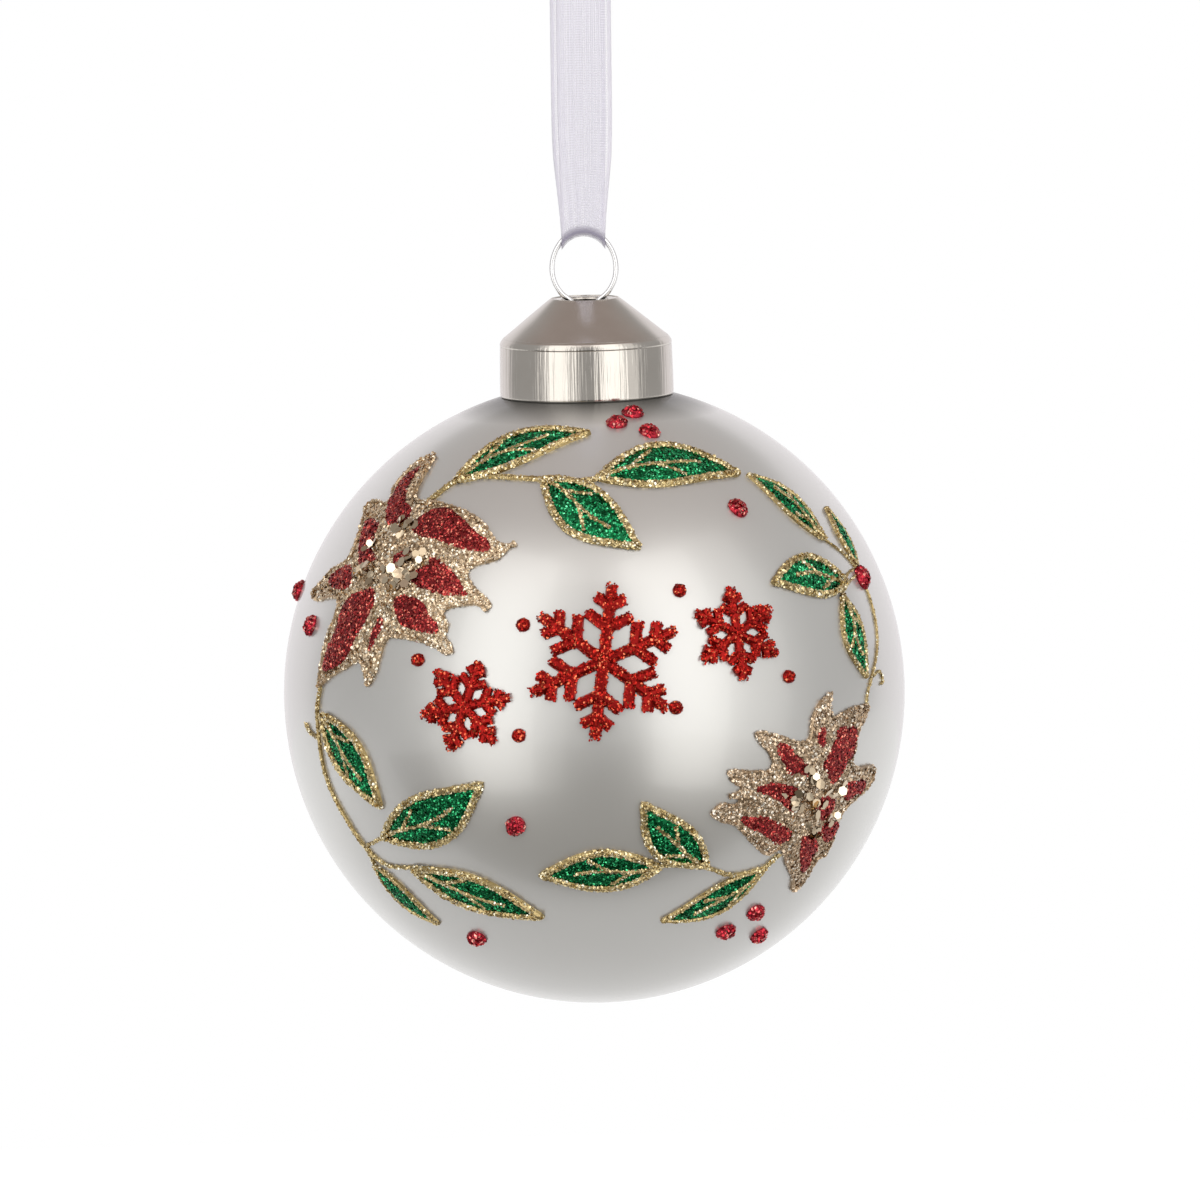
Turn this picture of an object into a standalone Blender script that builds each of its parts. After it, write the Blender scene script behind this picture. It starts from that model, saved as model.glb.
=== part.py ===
"""Glass ball ornament: a painted glass ball with raised glitter flowers, leaves and berries,
a pressed metal cap on its neck, a sprung wire hanger through the cap, and an organza ribbon loop.

Metres, +Z up, the decorated front faces -Y. The origin is the hanging point, inside the top
of the ribbon loop, and everything else is set down from there.
"""

import bmesh
import bpy
import numpy as np

for old in list(bpy.data.objects):
    bpy.data.objects.remove(old, do_unlink=True)

MM = 0.001

# glass ball
BALL_RADIUS = 40.0 * MM
GLASS_WALL = 0.9 * MM
NECK_LIP = 0.25 * MM

# pressed metal cap
CAP_RADIUS = 11.15 * MM
CAP_SHEET = 0.4 * MM
CAP_BAND = 7.0 * MM
CAP_CONE = 5.1 * MM
CAP_FLAT_RADIUS = 4.5 * MM
CAP_TAPER = 0.1 * MM
CAP_SHOULDER = 0.5 * MM

# wire hanger
WIRE_RADIUS = 0.35 * MM
LOOP_HALF_WIDTH = 4.1 * MM
LOOP_HALF_HEIGHT = 4.9 * MM
LOOP_RISE = 8.7 * MM
WIRE_SPREAD = 2.1 * MM
LOOP_TAIL = 0.7 * MM
LEG_LENGTH = 20.0 * MM

# organza ribbon
RIBBON_WIDTH = 7.0 * MM
RIBBON_THICK = 0.3 * MM
RIBBON_DROP = 50.0 * MM
RIBBON_GATHER = 0.8
RIBBON_SPREAD = 3.5 * MM
KNOT_WIDTH = 8.0 * MM
KNOT_DEPTH = 5.4 * MM
KNOT_HEIGHT = 6.4 * MM
KNOT_FOOT = 0.9 * MM
TAIL_LENGTH = 9.0 * MM

# raised glitter
PAD_EDGE = 0.25 * MM
PAD_RISE = 0.5 * MM
STEM_WIDTH = 0.8 * MM
STEM_RISE = 0.5 * MM
BERRY_RADIUS = 1.2 * MM
BERRY_RISE = 1.1 * MM
FLAKE_RADIUS = 2.0 * MM
FLAKE_RISE = 0.9 * MM

# clearances
SEAT_GAP = 0.3 * MM
LAYER_GAP = 0.12 * MM
NECK_GAP = 0.3 * MM
HOLE_GAP = 0.2 * MM
FOLD_GAP = 0.15 * MM
LEG_GAP = 0.5 * MM

# sizes that follow from those above
CAP_BORE = CAP_RADIUS - CAP_SHEET
NECK_RADIUS = CAP_BORE - NECK_GAP
NECK_BORE = NECK_RADIUS - GLASS_WALL
HOLE_RADIUS = WIRE_SPREAD + 2.0 * WIRE_RADIUS + HOLE_GAP
LEG_X = WIRE_SPREAD - 1.5 * WIRE_RADIUS
WIRE_TOP_Z = -RIBBON_DROP
LOOP_Z = WIRE_TOP_Z - LOOP_HALF_HEIGHT
CAP_TOP_Z = WIRE_TOP_Z - LOOP_RISE
CAP_SHOULDER_Z = CAP_TOP_Z - CAP_CONE
CAP_RIM_Z = CAP_SHOULDER_Z - CAP_BAND
BALL_Z = CAP_RIM_Z - SEAT_GAP - np.sqrt(BALL_RADIUS**2 - CAP_BORE**2)
CONE_SLOPE = CAP_CONE / (CAP_RADIUS - CAP_FLAT_RADIUS)
CONE_DROP = CAP_SHEET * np.sqrt(1.0 + CONE_SLOPE**2)
NECK_TOP_Z = CAP_SHOULDER_Z + (CAP_RADIUS - NECK_RADIUS) * CONE_SLOPE - CONE_DROP - NECK_GAP
LEG_TOP_Z = CAP_TOP_Z - CAP_SHEET - LOOP_TAIL - SEAT_GAP
BORE_END_Z = BALL_Z + np.sqrt((BALL_RADIUS - GLASS_WALL) ** 2 - NECK_BORE**2)
LEG_ROOM = np.hypot(NECK_BORE - LEG_X, LEG_TOP_Z - BORE_END_Z)
LEG_SPLAY = np.arccos((WIRE_RADIUS + LEG_GAP) / LEG_ROOM)
LEG_SPLAY = LEG_SPLAY - np.arctan2(LEG_TOP_Z - BORE_END_Z, NECK_BORE - LEG_X)
PATTERN = BALL_RADIUS / 40.0


def empty(name, parent=None):
    """Group node at the origin."""
    node = bpy.data.objects.new(name, None)
    node.empty_display_size = 0.01
    node.parent = parent
    bpy.context.scene.collection.objects.link(node)
    return node


def material(name, colour, metallic, roughness, alpha=1.0):
    """Plain surface colour for one sub-part."""
    mat = bpy.data.materials.new(name)
    mat.use_nodes = True
    shader = mat.node_tree.nodes["Principled BSDF"]
    shader.inputs["Base Color"].default_value = (*colour, 1.0)
    shader.inputs["Metallic"].default_value = metallic
    shader.inputs["Roughness"].default_value = roughness
    shader.inputs["Alpha"].default_value = alpha
    mat.diffuse_color = (*colour, 1.0)
    return mat


def solid(name, points, faces, parent, look, smooth=True):
    """One closed body from points and faces, faces turned outward."""
    mesh = bpy.data.meshes.new(name)
    body = bmesh.new()
    corners = [body.verts.new(p) for p in np.asarray(points, float)]
    for face in faces:
        body.faces.new([corners[i] for i in face])
    bmesh.ops.recalc_face_normals(body, faces=body.faces)
    body.to_mesh(mesh)
    body.free()
    for polygon in mesh.polygons:
        polygon.use_smooth = smooth
    part = bpy.data.objects.new(name, mesh)
    mesh.materials.append(material(name, *look))
    part.parent = parent
    bpy.context.scene.collection.objects.link(part)
    return part


def revolved(profile, segments):
    """Points and faces of a profile of (radius, height) turned about Z; a closed profile makes a ring."""
    points = []
    rings = []
    turn = np.linspace(0.0, 2.0 * np.pi, segments, endpoint=False)
    for radius, height in profile:
        start = len(points)
        if radius < 1e-9:
            points.append((0.0, 0.0, height))
            rings.append([start] * segments)
        else:
            points += [(radius * np.sin(a), -radius * np.cos(a), height) for a in turn]
            rings.append(list(range(start, start + segments)))
    closed = profile[0][0] > 1e-9
    pairs = list(zip(rings[:-1], rings[1:]))
    if closed:
        pairs.append((rings[-1], rings[0]))
    faces = []
    for low, high in pairs:
        for i in range(segments):
            j = (i + 1) % segments
            loop = [low[i], low[j], high[j], high[i]]
            face = [v for k, v in enumerate(loop) if v not in loop[:k]]
            faces.append(face)
    return points, faces


def tube(path, radius, sides):
    """Points and faces of a round wire in the XZ plane along path, closed at both ends."""
    path = np.asarray(path, float)
    run = np.gradient(path, axis=0)
    run /= np.linalg.norm(run, axis=1)[:, None]
    across = np.stack([run[:, 2], np.zeros(len(run)), -run[:, 0]], axis=1)
    turn = np.linspace(0.0, 2.0 * np.pi, sides, endpoint=False)
    ring = np.cos(turn)[None, :, None] * across[:, None, :]
    ring = ring + np.sin(turn)[None, :, None] * np.array([0.0, 1.0, 0.0])
    points = (path[:, None, :] + radius * ring).reshape(-1, 3)
    faces = []
    for i in range(len(path) - 1):
        for k in range(sides):
            m = (k + 1) % sides
            faces.append([i * sides + k, i * sides + m, (i + 1) * sides + m, (i + 1) * sides + k])
    faces.append(list(range(sides)))
    faces.append([(len(path) - 1) * sides + k for k in range(sides)])
    return points, faces


def sheet(top, bottom):
    """Points and faces of a closed sheet between two grids of points of one shape (rows, columns, 3)."""
    rows, columns = top.shape[:2]
    points = np.concatenate([top.reshape(-1, 3), bottom.reshape(-1, 3)])
    under = rows * columns
    faces = []
    for i in range(rows - 1):
        for j in range(columns - 1):
            a = i * columns + j
            quad = [a, a + 1, a + columns + 1, a + columns]
            faces.append(quad)
            faces.append([under + v for v in reversed(quad)])
    edge = [(0, j) for j in range(columns)]
    edge += [(i, columns - 1) for i in range(1, rows)]
    edge += [(rows - 1, j) for j in range(columns - 2, -1, -1)]
    edge += [(i, 0) for i in range(rows - 2, 0, -1)]
    rim = [i * columns + j for i, j in edge]
    for a, b in zip(rim, rim[1:] + rim[:1]):
        faces.append([a, b, under + b, under + a])
    return points, faces


def rounded(controls, steps):
    """Smooth line through control points, steps points to each span."""
    controls = np.asarray(controls, float)
    padded = np.concatenate([2 * controls[:1] - controls[1:2], controls, 2 * controls[-1:] - controls[-2:-1]])
    line = []
    for i in range(1, len(padded) - 2):
        a, b, c, d = padded[i - 1:i + 3]
        for t in np.linspace(0.0, 1.0, steps, endpoint=False):
            line.append(0.5 * (2 * b + (c - a) * t + (2 * a - 5 * b + 4 * c - d) * t**2
                               + (3 * b - a - 3 * c + d) * t**3))
    line.append(controls[-1])
    return np.array(line)


def heading(lon, lat):
    """Outward direction on the ball at a longitude (0 in front, + to the right) and a latitude in degrees."""
    a, b = np.radians(lon), np.radians(lat)
    return np.stack([np.sin(a) * np.cos(b), -np.cos(a) * np.cos(b), np.sin(b)], axis=-1)


def around(lon, lat, angle, reach):
    """Outward direction at a reach in metres and an angle (0 degrees to the right) about a spot."""
    out = heading(lon, lat)
    east = np.array([np.cos(np.radians(lon)), np.sin(np.radians(lon)), 0.0])
    north = np.cross(out, east)
    a = np.radians(np.asarray(angle, float))
    bend = np.asarray(reach, float) / BALL_RADIUS
    along = np.cos(a)[..., None] * east + np.sin(a)[..., None] * north
    return np.cos(bend)[..., None] * out + np.sin(bend)[..., None] * along


def on_ball(direction, rise):
    """Point above the glass by a rise."""
    lift = (BALL_RADIUS + np.asarray(rise, float))[..., None]
    return direction * lift + np.array([0.0, 0.0, BALL_Z])


def leaf(start, end, width, bend, trim, floor, rise, rows):
    """Closed pad shaped like a leaf from one direction on the ball to another, its middle bent sideways."""
    span = np.arccos(np.clip(start @ end, -1.0, 1.0)) * BALL_RADIUS
    along = np.linspace(trim / span, 1.0, rows)
    across = np.array([-1.0, -0.6, 0.0, 0.6, 1.0])
    theta = span / BALL_RADIUS
    from_start = np.sin((1 - along) * theta)[:, None] * start
    spine = (from_start + np.sin(along * theta)[:, None] * end) / np.sin(theta)
    side = np.cross(end, start)
    side /= np.linalg.norm(side)
    share = np.linspace(0.0, 1.0, len(along))
    half = 0.7 * PAD_EDGE + 0.5 * width * np.sin(np.pi * share**0.85) ** 0.85
    sway = bend * np.sin(np.pi * share)
    offset = sway[:, None] + half[:, None] * across[None, :]
    grid = spine[:, None, :] + (offset / BALL_RADIUS)[..., None] * side
    grid /= np.linalg.norm(grid, axis=2)[..., None]
    crown = np.array([PAD_EDGE, rise, 0.85 * rise, rise, PAD_EDGE])
    top = on_ball(grid, floor + np.broadcast_to(crown, grid.shape[:2]))
    return sheet(top, on_ball(grid, np.full(grid.shape[:2], floor)))


def star(lon, lat, outline, rings, rise, floor):
    """Closed pad whose outline is a list of (degrees, reach) about a spot, domed to rise in the middle."""
    angle = np.array([a for a, _ in outline])
    reach = np.array([r for _, r in outline])
    count = len(outline)
    points = [on_ball(heading(lon, lat), rise[0] + floor)]
    for share, lift in zip(rings, rise[1:]):
        points += list(on_ball(around(lon, lat, angle, share * reach), np.full(count, lift + floor)))
    half = len(points)
    points.append(on_ball(heading(lon, lat), np.array(floor)))
    for share in rings:
        points += list(on_ball(around(lon, lat, angle, share * reach), np.full(count, floor)))
    faces = []
    for base in (0, half):
        for k in range(count):
            m = (k + 1) % count
            faces.append([base, base + 1 + k, base + 1 + m])
            for ring in range(len(rings) - 1):
                low = base + 1 + ring * count
                high = low + count
                faces.append([low + k, high + k, high + m, low + m])
    rim = 1 + (len(rings) - 1) * count
    for k in range(count):
        m = (k + 1) % count
        faces.append([rim + k, rim + m, half + rim + m, half + rim + k])
    return points, faces


GOLD = ((0.72, 0.60, 0.33), 0.9, 0.4)
GREEN = ((0.02, 0.32, 0.09), 0.3, 0.45)
RED = ((0.55, 0.02, 0.03), 0.3, 0.45)
SILVER = ((0.72, 0.71, 0.69), 1.0, 0.12)
PEARL = ((0.72, 0.73, 0.70), 0.4, 0.4)
ORGANZA = ((0.82, 0.81, 0.90), 0.0, 0.6, 0.6)

ornament = empty("ornament")
ribbon_group = empty("ribbon", ornament)
hanger_group = empty("hanger", ornament)
cap_group = empty("cap_body", ornament)
ball_group = empty("ball", ornament)

# Glass ball with its open neck, one blown wall throughout.
neck_lat = np.degrees(np.arccos(NECK_RADIUS / BALL_RADIUS))
inner = BALL_RADIUS - GLASS_WALL
bore_lat = np.degrees(np.arccos(NECK_BORE / inner))
profile = []
for angle in np.radians(np.linspace(-90.0, neck_lat, 20)):
    profile.append((max(BALL_RADIUS * np.cos(angle), 0.0), BALL_Z + BALL_RADIUS * np.sin(angle)))
profile.append((NECK_RADIUS, NECK_TOP_Z - NECK_LIP))
profile.append((NECK_RADIUS - NECK_LIP, NECK_TOP_Z))
profile.append((NECK_BORE + NECK_LIP, NECK_TOP_Z))
profile.append((NECK_BORE, NECK_TOP_Z - NECK_LIP))
for angle in np.radians(np.linspace(bore_lat, -90.0, 13)):
    profile.append((max(inner * np.cos(angle), 0.0), BALL_Z + inner * np.sin(angle)))
solid("glass_ball", *revolved(profile, 40), ball_group, PEARL)

# Cap: one pressed sheet, an upright band, a low cone and a flat top with a round hole.
cone_run = np.array([CAP_FLAT_RADIUS - CAP_RADIUS, CAP_CONE])
cone_run /= np.linalg.norm(cone_run)
outside = [
    (CAP_RADIUS, CAP_RIM_Z),
    (CAP_RADIUS - CAP_TAPER, CAP_SHOULDER_Z - 1.6 * CAP_SHOULDER),
    (CAP_RADIUS - CAP_TAPER - 0.12 * CAP_SHOULDER, CAP_SHOULDER_Z - 0.6 * CAP_SHOULDER),
    (CAP_RADIUS - CAP_TAPER - 0.5 * CAP_SHOULDER, CAP_SHOULDER_Z + 0.1 * CAP_SHOULDER),
    (CAP_RADIUS + cone_run[0] * 2.2 * CAP_SHOULDER, CAP_SHOULDER_Z + cone_run[1] * 2.2 * CAP_SHOULDER),
    (CAP_FLAT_RADIUS - cone_run[0] * CAP_SHOULDER, CAP_TOP_Z - cone_run[1] * CAP_SHOULDER),
    (CAP_FLAT_RADIUS - 0.6 * CAP_SHOULDER, CAP_TOP_Z),
    (HOLE_RADIUS, CAP_TOP_Z),
]
inside = [
    (HOLE_RADIUS, CAP_TOP_Z - CAP_SHEET),
    (CAP_FLAT_RADIUS - 0.6 * CAP_SHOULDER, CAP_TOP_Z - CAP_SHEET),
    (CAP_FLAT_RADIUS - cone_run[0] * CAP_SHOULDER, CAP_TOP_Z - cone_run[1] * CAP_SHOULDER - CONE_DROP),
    (CAP_BORE - CAP_TAPER, CAP_SHOULDER_Z + (CAP_SHEET + CAP_TAPER) * CONE_SLOPE - CONE_DROP),
    (CAP_BORE, CAP_RIM_Z),
]
solid("cap", *revolved(outside + inside, 40), cap_group, SILVER)

# Hanger loop: the round eye of the wire, its two ends bent in and down through the hole in the cap.
entry = np.arccos(WIRE_SPREAD / LOOP_HALF_WIDTH)
low_half = (LOOP_Z - CAP_TOP_Z) / np.sin(entry)
eye = []
for angle in np.linspace(-entry, np.pi + entry, 37):
    tall = LOOP_HALF_HEIGHT if np.sin(angle) > 0.0 else low_half
    eye.append((LOOP_HALF_WIDTH * np.cos(angle), 0.0, LOOP_Z + tall * np.sin(angle)))
low_end = CAP_TOP_Z - CAP_SHEET - LOOP_TAIL
start = [(LEG_X, 0.0, low_end), (LEG_X + 0.2 * WIRE_RADIUS, 0.0, CAP_TOP_Z - CAP_SHEET)]
finish = [(-x, y, z) for x, y, z in reversed(start)]
solid("hanger_loop", *tube(start + eye + finish, WIRE_RADIUS, 8), hanger_group, SILVER)

# Spring legs: the lower wires, splayed to press on the neck from within.
for side, name in ((-1.0, "spring_leg_left"), (1.0, "spring_leg_right")):
    leg = []
    for share in np.linspace(0.0, 1.0, 5):
        reach_down = share * LEG_LENGTH
        x = LEG_X + reach_down * np.sin(LEG_SPLAY)
        leg.append((side * x, 0.0, LEG_TOP_Z - reach_down * np.cos(LEG_SPLAY)))
    solid(name, *tube(leg, WIRE_RADIUS, 8), hanger_group, SILVER)

# Ribbon loop: a flat woven strip folded under the top of the wire eye, its strands parting round the hook.
fold = WIRE_RADIUS + FOLD_GAP + 0.5 * RIBBON_THICK
turns = np.radians(np.linspace(180.0, 360.0, 9))
strand = rounded([
    (fold, WIRE_TOP_Z),
    (fold + 0.25 * (RIBBON_SPREAD - fold), WIRE_TOP_Z + 0.28 * RIBBON_DROP),
    (fold + 0.65 * (RIBBON_SPREAD - fold), WIRE_TOP_Z + 0.56 * RIBBON_DROP),
    (RIBBON_SPREAD, -0.19 * RIBBON_DROP),
    (0.85 * RIBBON_SPREAD, -0.085 * RIBBON_DROP),
    (0.5 * RIBBON_SPREAD, -0.018 * RIBBON_DROP),
    (0.22 * RIBBON_SPREAD, KNOT_FOOT),
], 3)
back = strand[::-1]
under = np.stack([-fold * np.cos(turns), WIRE_TOP_Z + fold * np.sin(turns)], axis=1)
front = np.stack([-strand[:, 0], strand[:, 1]], axis=1)
line = np.concatenate([back, under[1:-1], front])
run = np.gradient(line, axis=0)
run /= np.linalg.norm(run, axis=1)[:, None]
flat = np.stack([run[:, 1], -run[:, 0]], axis=1)
height = np.clip(line[:, 1] - WIRE_TOP_Z, 0.0, None)
gather = 1.0 - (1.0 - RIBBON_GATHER) * np.exp(-((height / (0.16 * RIBBON_DROP)) ** 2))
x = 0.5 * RIBBON_WIDTH * gather[:, None] * np.linspace(-1.0, 1.0, 5)[None, :]
lean = np.clip(x / LOOP_HALF_WIDTH, -0.9, 0.9)
arc = LOOP_HALF_HEIGHT * (np.sqrt(1.0 - lean**2) - 1.0)
slope = LOOP_HALF_HEIGHT / LOOP_HALF_WIDTH * lean / np.sqrt(1.0 - lean**2)
fade = np.exp(-height / (0.1 * RIBBON_DROP))
faces_of_ribbon = []
for offset in (0.5, -0.5):
    y = line[:, 0] + offset * RIBBON_THICK * flat[:, 0]
    z = line[:, 1] + offset * RIBBON_THICK * flat[:, 1]
    low = np.minimum(z - WIRE_TOP_Z, 0.0)[:, None] * (np.sqrt(1.0 + slope**2) - 1.0)
    grid = np.stack([x, np.broadcast_to(y[:, None], x.shape), z[:, None] + fade[:, None] * arc + low], axis=2)
    faces_of_ribbon.append(grid)
solid("ribbon_loop", *sheet(*faces_of_ribbon), ribbon_group, ORGANZA)

# Ribbon knot: a gathered lump that closes the loop, with two short cut tails.
lump = []
knot_z = KNOT_FOOT + SEAT_GAP + 0.5 * KNOT_HEIGHT
for angle in np.radians(np.linspace(-90.0, 90.0, 9)):
    lump.append((max(np.cos(angle), 0.0) if abs(angle) < 1.57 else 0.0, np.sin(angle)))
points, faces = revolved(lump, 14)
points = np.array(points) * 0.5 * np.array([KNOT_WIDTH, KNOT_DEPTH, KNOT_HEIGHT])
knot = solid("ribbon_knot", points + np.array([0.0, 0.0, knot_z]), faces, ribbon_group, ORGANZA)
for side in (-1.0, 1.0):
    rise = np.linspace(0.0, 1.0, 4)
    wide = 0.5 * RIBBON_WIDTH * (0.45 + 0.5 * rise)
    middle = side * (0.1 + 0.3 * rise) * KNOT_WIDTH
    depth = side * (0.09 + 0.15 * rise) * KNOT_DEPTH
    level = knot_z + 0.2 * KNOT_HEIGHT + (0.3 * KNOT_HEIGHT + TAIL_LENGTH) * rise
    grids = []
    for offset in (0.5, -0.5):
        grid = np.zeros((4, 2, 3))
        grid[:, 0, 0] = middle - wide
        grid[:, 1, 0] = middle + wide
        grid[:, :, 1] = (depth + offset * RIBBON_THICK)[:, None]
        grid[:, 0, 2] = level
        grid[:, 1, 2] = level + side * 0.15 * KNOT_WIDTH * rise
        grids.append(grid)
    tail = solid("tail_strip", *sheet(*grids), ribbon_group, ORGANZA, False)
    join = knot.modifiers.new("join", "BOOLEAN")
    join.operation = "UNION"
    join.solver = "EXACT"
    join.object = tail
    tail.hide_render = True
    tail.display_type = "WIRE"
view = bpy.context.evaluated_depsgraph_get()
whole = bpy.data.meshes.new_from_object(knot.evaluated_get(view))
knot.modifiers.clear()
knot.data = whole
for old in [o for o in bpy.data.objects if o.name.startswith("tail_strip")]:
    bpy.data.objects.remove(old, do_unlink=True)

# Poinsettias: gold glitter bases with pointed bracts, red glitter fills and a heart of gold flakes.
UPPER_OUTLINE = [
    (102, 17.5), (98, 11), (85, 9), (66, 10), (41, 12), (23, 15), (18, 18), (9, 15), (3, 12.5), (-6, 14),
    (-11, 17), (-16, 16), (-27, 12.5), (-38, 17), (-44, 15), (-60, 12), (-72, 10.5), (-83, 14.5),
    (-88, 16.5), (-93, 14.5), (-97, 13.5), (-106, 15), (-122, 20), (-129, 15), (-140, 11), (-149, 11),
    (-165, 16), (-174, 12), (-183, 10), (-193, 10), (-206, 12.5), (-215, 14), (-230, 10.5), (-241, 14.5),
    (-250, 16.5),
]
LOWER_OUTLINE = [
    (84, 13.5), (80, 11.5), (67, 11.5), (52, 14), (44, 13), (39, 10), (34, 8), (24, 8), (15, 10), (8, 12.5),
    (3, 12), (-7, 10), (-18, 8), (-24, 7), (-35, 8.5), (-47, 10), (-59, 10.5), (-74, 12.5), (-82, 14.5),
    (-94, 11.5), (-103, 9.5), (-115, 8), (-129, 9.5), (-145, 10.5), (-158, 11.5), (-175, 15.5), (-181, 12),
    (-184, 13.5), (-194, 14.5), (-203, 11.5), (-208, 10), (-218, 13), (-223, 13.5), (-228, 11.5), (-238, 9.5),
    (-249, 9), (-259, 10.5), (-269, 12),
]
# each fill: angle and reach of its inner end, angle and reach of its tip, width, all reaches and widths
# in fortieths of the ball's radius, as in the outlines
UPPER_FILLS = [
    (113, 5.5, 108, 14.5, 3.4), (70, 4.8, 16, 14.0, 4.4), (-21, 5.3, -12, 13.0, 3.3),
    (-58, 5.6, -38, 13.0, 3.3), (-84, 8.0, -88, 12.5, 1.0), (-122, 5.0, -120, 16.5, 4.6),
    (-158, 7.0, -166, 12.5, 2.6), (-173, 5.2, 146, 9.5, 2.8),
]
LOWER_FILLS = [
    (54, 3.4, 53, 11.0, 3.2), (-4, 5.8, 5, 10.0, 2.2), (-16, 2.2, -52, 4.6, 1.6), (-38, 6.4, -62, 7.2, 1.5),
    (-92, 5.4, -82, 11.0, 2.4), (-132, 5.6, -170, 12.0, 2.8), (176, 4.4, 167, 10.5, 2.5),
    (128, 5.2, 137, 10.8, 2.4),
]
FLOWERS = [
    ("upper", -46.5, 30.5, UPPER_OUTLINE, UPPER_FILLS, (0, 0.0)),
    ("lower", 45.5, -15.5, LOWER_OUTLINE, LOWER_FILLS, (-160, 1.6)),
]
for name, lon, lat, outline, fills, heart in FLOWERS:
    group = empty("flower_" + name, ball_group)
    edge = [(angle, reach * PATTERN) for angle, reach in outline]
    lifts = (PAD_RISE, PAD_RISE, PAD_RISE, PAD_EDGE)
    solid("poinsettia_" + name, *star(lon, lat, edge, (0.4, 0.75, 1.0), lifts, SEAT_GAP), group, GOLD, False)
    floor = SEAT_GAP + PAD_RISE + LAYER_GAP
    for number, (a, r, b, s, width) in enumerate(fills, 1):
        inner_end = around(lon, lat, a, r * PATTERN)
        tip = around(lon, lat, b, s * PATTERN)
        shape = leaf(inner_end, tip, width * PATTERN, 0.0, 0.0, floor, 0.8 * PAD_RISE, 6)
        solid("red_bract_%s_%d" % (name, number), *shape, group, RED, False)
    spot = around(lon, lat, heart[0], heart[1] * PATTERN)
    spot_lon = np.degrees(np.arctan2(spot[0], -spot[1]))
    spot_lat = np.degrees(np.arcsin(spot[2]))
    hexagon = [(60.0 * k, FLAKE_RADIUS) for k in range(6)]
    lifts = (FLAKE_RISE, FLAKE_RISE, PAD_EDGE)
    shape = star(spot_lon, spot_lat, hexagon, (0.7, 1.0), lifts, floor)
    solid("flake_heart_" + name, *shape, group, GOLD, False)

# Leaves: base and tip as longitude and latitude in degrees, width and sideways bend in fortieths of the
# ball's radius.
LEAVES = [
    (-38.0, 50.0, 0.0, 62.0, 6.2, -0.8), (-11.5, 48.0, 10.5, 33.5, 7.2, 0.6),
    (3.5, 49.0, 44.5, 48.0, 7.0, -1.0), (60.0, 31.5, 48.0, 47.5, 5.4, 0.5),
    (70.0, 25.0, 70.5, 37.5, 3.6, 0.0), (65.0, 23.5, 39.0, 25.0, 5.4, 0.6),
    (65.0, 20.0, 59.5, 5.5, 4.6, 0.5), (-59.5, 0.0, -46.0, -15.0, 5.6, -0.6),
    (-50.0, -22.0, -21.5, -9.5, 6.4, 0.7),
    (-53.0, -26.5, -42.0, -41.0, 3.8, 0.4), (-40.0, -27.5, -13.0, -37.5, 6.2, -0.6),
    (11.5, -26.5, -11.5, -27.5, 6.2, 0.4), (21.0, -25.8, 8.5, -13.5, 5.6, -0.6),
    (33.5, -31.2, 14.5, -39.5, 5.2, -0.5),
]
leaf_group = empty("leaves", ball_group)
for number, (lon_a, lat_a, lon_b, lat_b, width, bend) in enumerate(LEAVES, 1):
    wide = width * PATTERN
    sway = bend * PATTERN
    base = heading(lon_a, lat_a)
    tip = heading(lon_b, lat_b)
    shape = leaf(base, tip, wide, sway, STEM_WIDTH, SEAT_GAP, PAD_RISE, 9)
    solid("leaf_%02d" % number, *shape, leaf_group, GREEN, False)

# Stems: fine gold lines from the flowers past the leaves.
STEMS = {
    "stem_upper": [
        (-44.0, 44.5), (-40.5, 47.3), (-32.0, 48.8), (-22.0, 49.2), (-12.0, 49.3), (-4.0, 48.8), (2.5, 49.0),
    ],
    "stem_right": [
        (61.5, 31.5), (65.5, 27.5), (68.0, 23.5), (68.6, 18.5), (67.5, 12.5), (65.0, 7.5), (61.5, 3.6),
    ],
    "stem_left": [
        (-61.0, 3.2), (-61.8, -1.5), (-60.8, -11.0), (-57.0, -19.0), (-53.0, -24.2), (-47.0, -27.0),
        (-41.0, -27.3),
    ],
    "stem_lower": [
        (38.4, -27.2), (33.5, -29.5), (27.5, -29.2), (22.0, -27.4), (17.5, -26.7), (12.5, -26.5),
    ],
}
stem_group = empty("stems", ball_group)
for name, route in STEMS.items():
    route = rounded(route, 3)
    spine = heading(route[:, 0], route[:, 1])
    run = np.gradient(spine, axis=0)
    side = np.cross(run, spine)
    side /= np.linalg.norm(side, axis=1)[:, None]
    offset = np.array([-0.5, 0.0, 0.5]) * STEM_WIDTH / BALL_RADIUS
    grid = spine[:, None, :] + offset[None, :, None] * side[:, None, :]
    grid /= np.linalg.norm(grid, axis=2)[..., None]
    crown = np.broadcast_to(np.array([PAD_EDGE, STEM_RISE, PAD_EDGE]) + SEAT_GAP, grid.shape[:2])
    shape = sheet(on_ball(grid, crown), on_ball(grid, np.full(grid.shape[:2], SEAT_GAP)))
    solid(name, *shape, stem_group, GOLD, False)

# Berries: small red glitter drops.
BERRIES = [
    (12.5, 65.0), (23.0, 68.3), (24.0, 61.5), (37.5, 40.5), (72.5, 22.5), (-15.5, -17.5), (-33.0, -44.5),
    (33.5, -44.0), (40.0, -39.8), (47.5, -46.5), (-86.0, 20.5), (-69.0, 16.0),
]
berry_group = empty("berries", ball_group)
for number, (lon, lat) in enumerate(BERRIES, 1):
    circle = [(36.0 * k, BERRY_RADIUS) for k in range(10)]
    lifts = (BERRY_RISE, 0.85 * BERRY_RISE, PAD_EDGE)
    shape = star(lon, lat, circle, (0.55, 1.0), lifts, SEAT_GAP)
    solid("berry_%02d" % number, *shape, berry_group, RED, False)
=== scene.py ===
"""Glass ball ornament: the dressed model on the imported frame, with its studio and camera.

Metres, +Z up, the decorated front faces -Y, the hanging point at the origin.
"""

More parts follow.
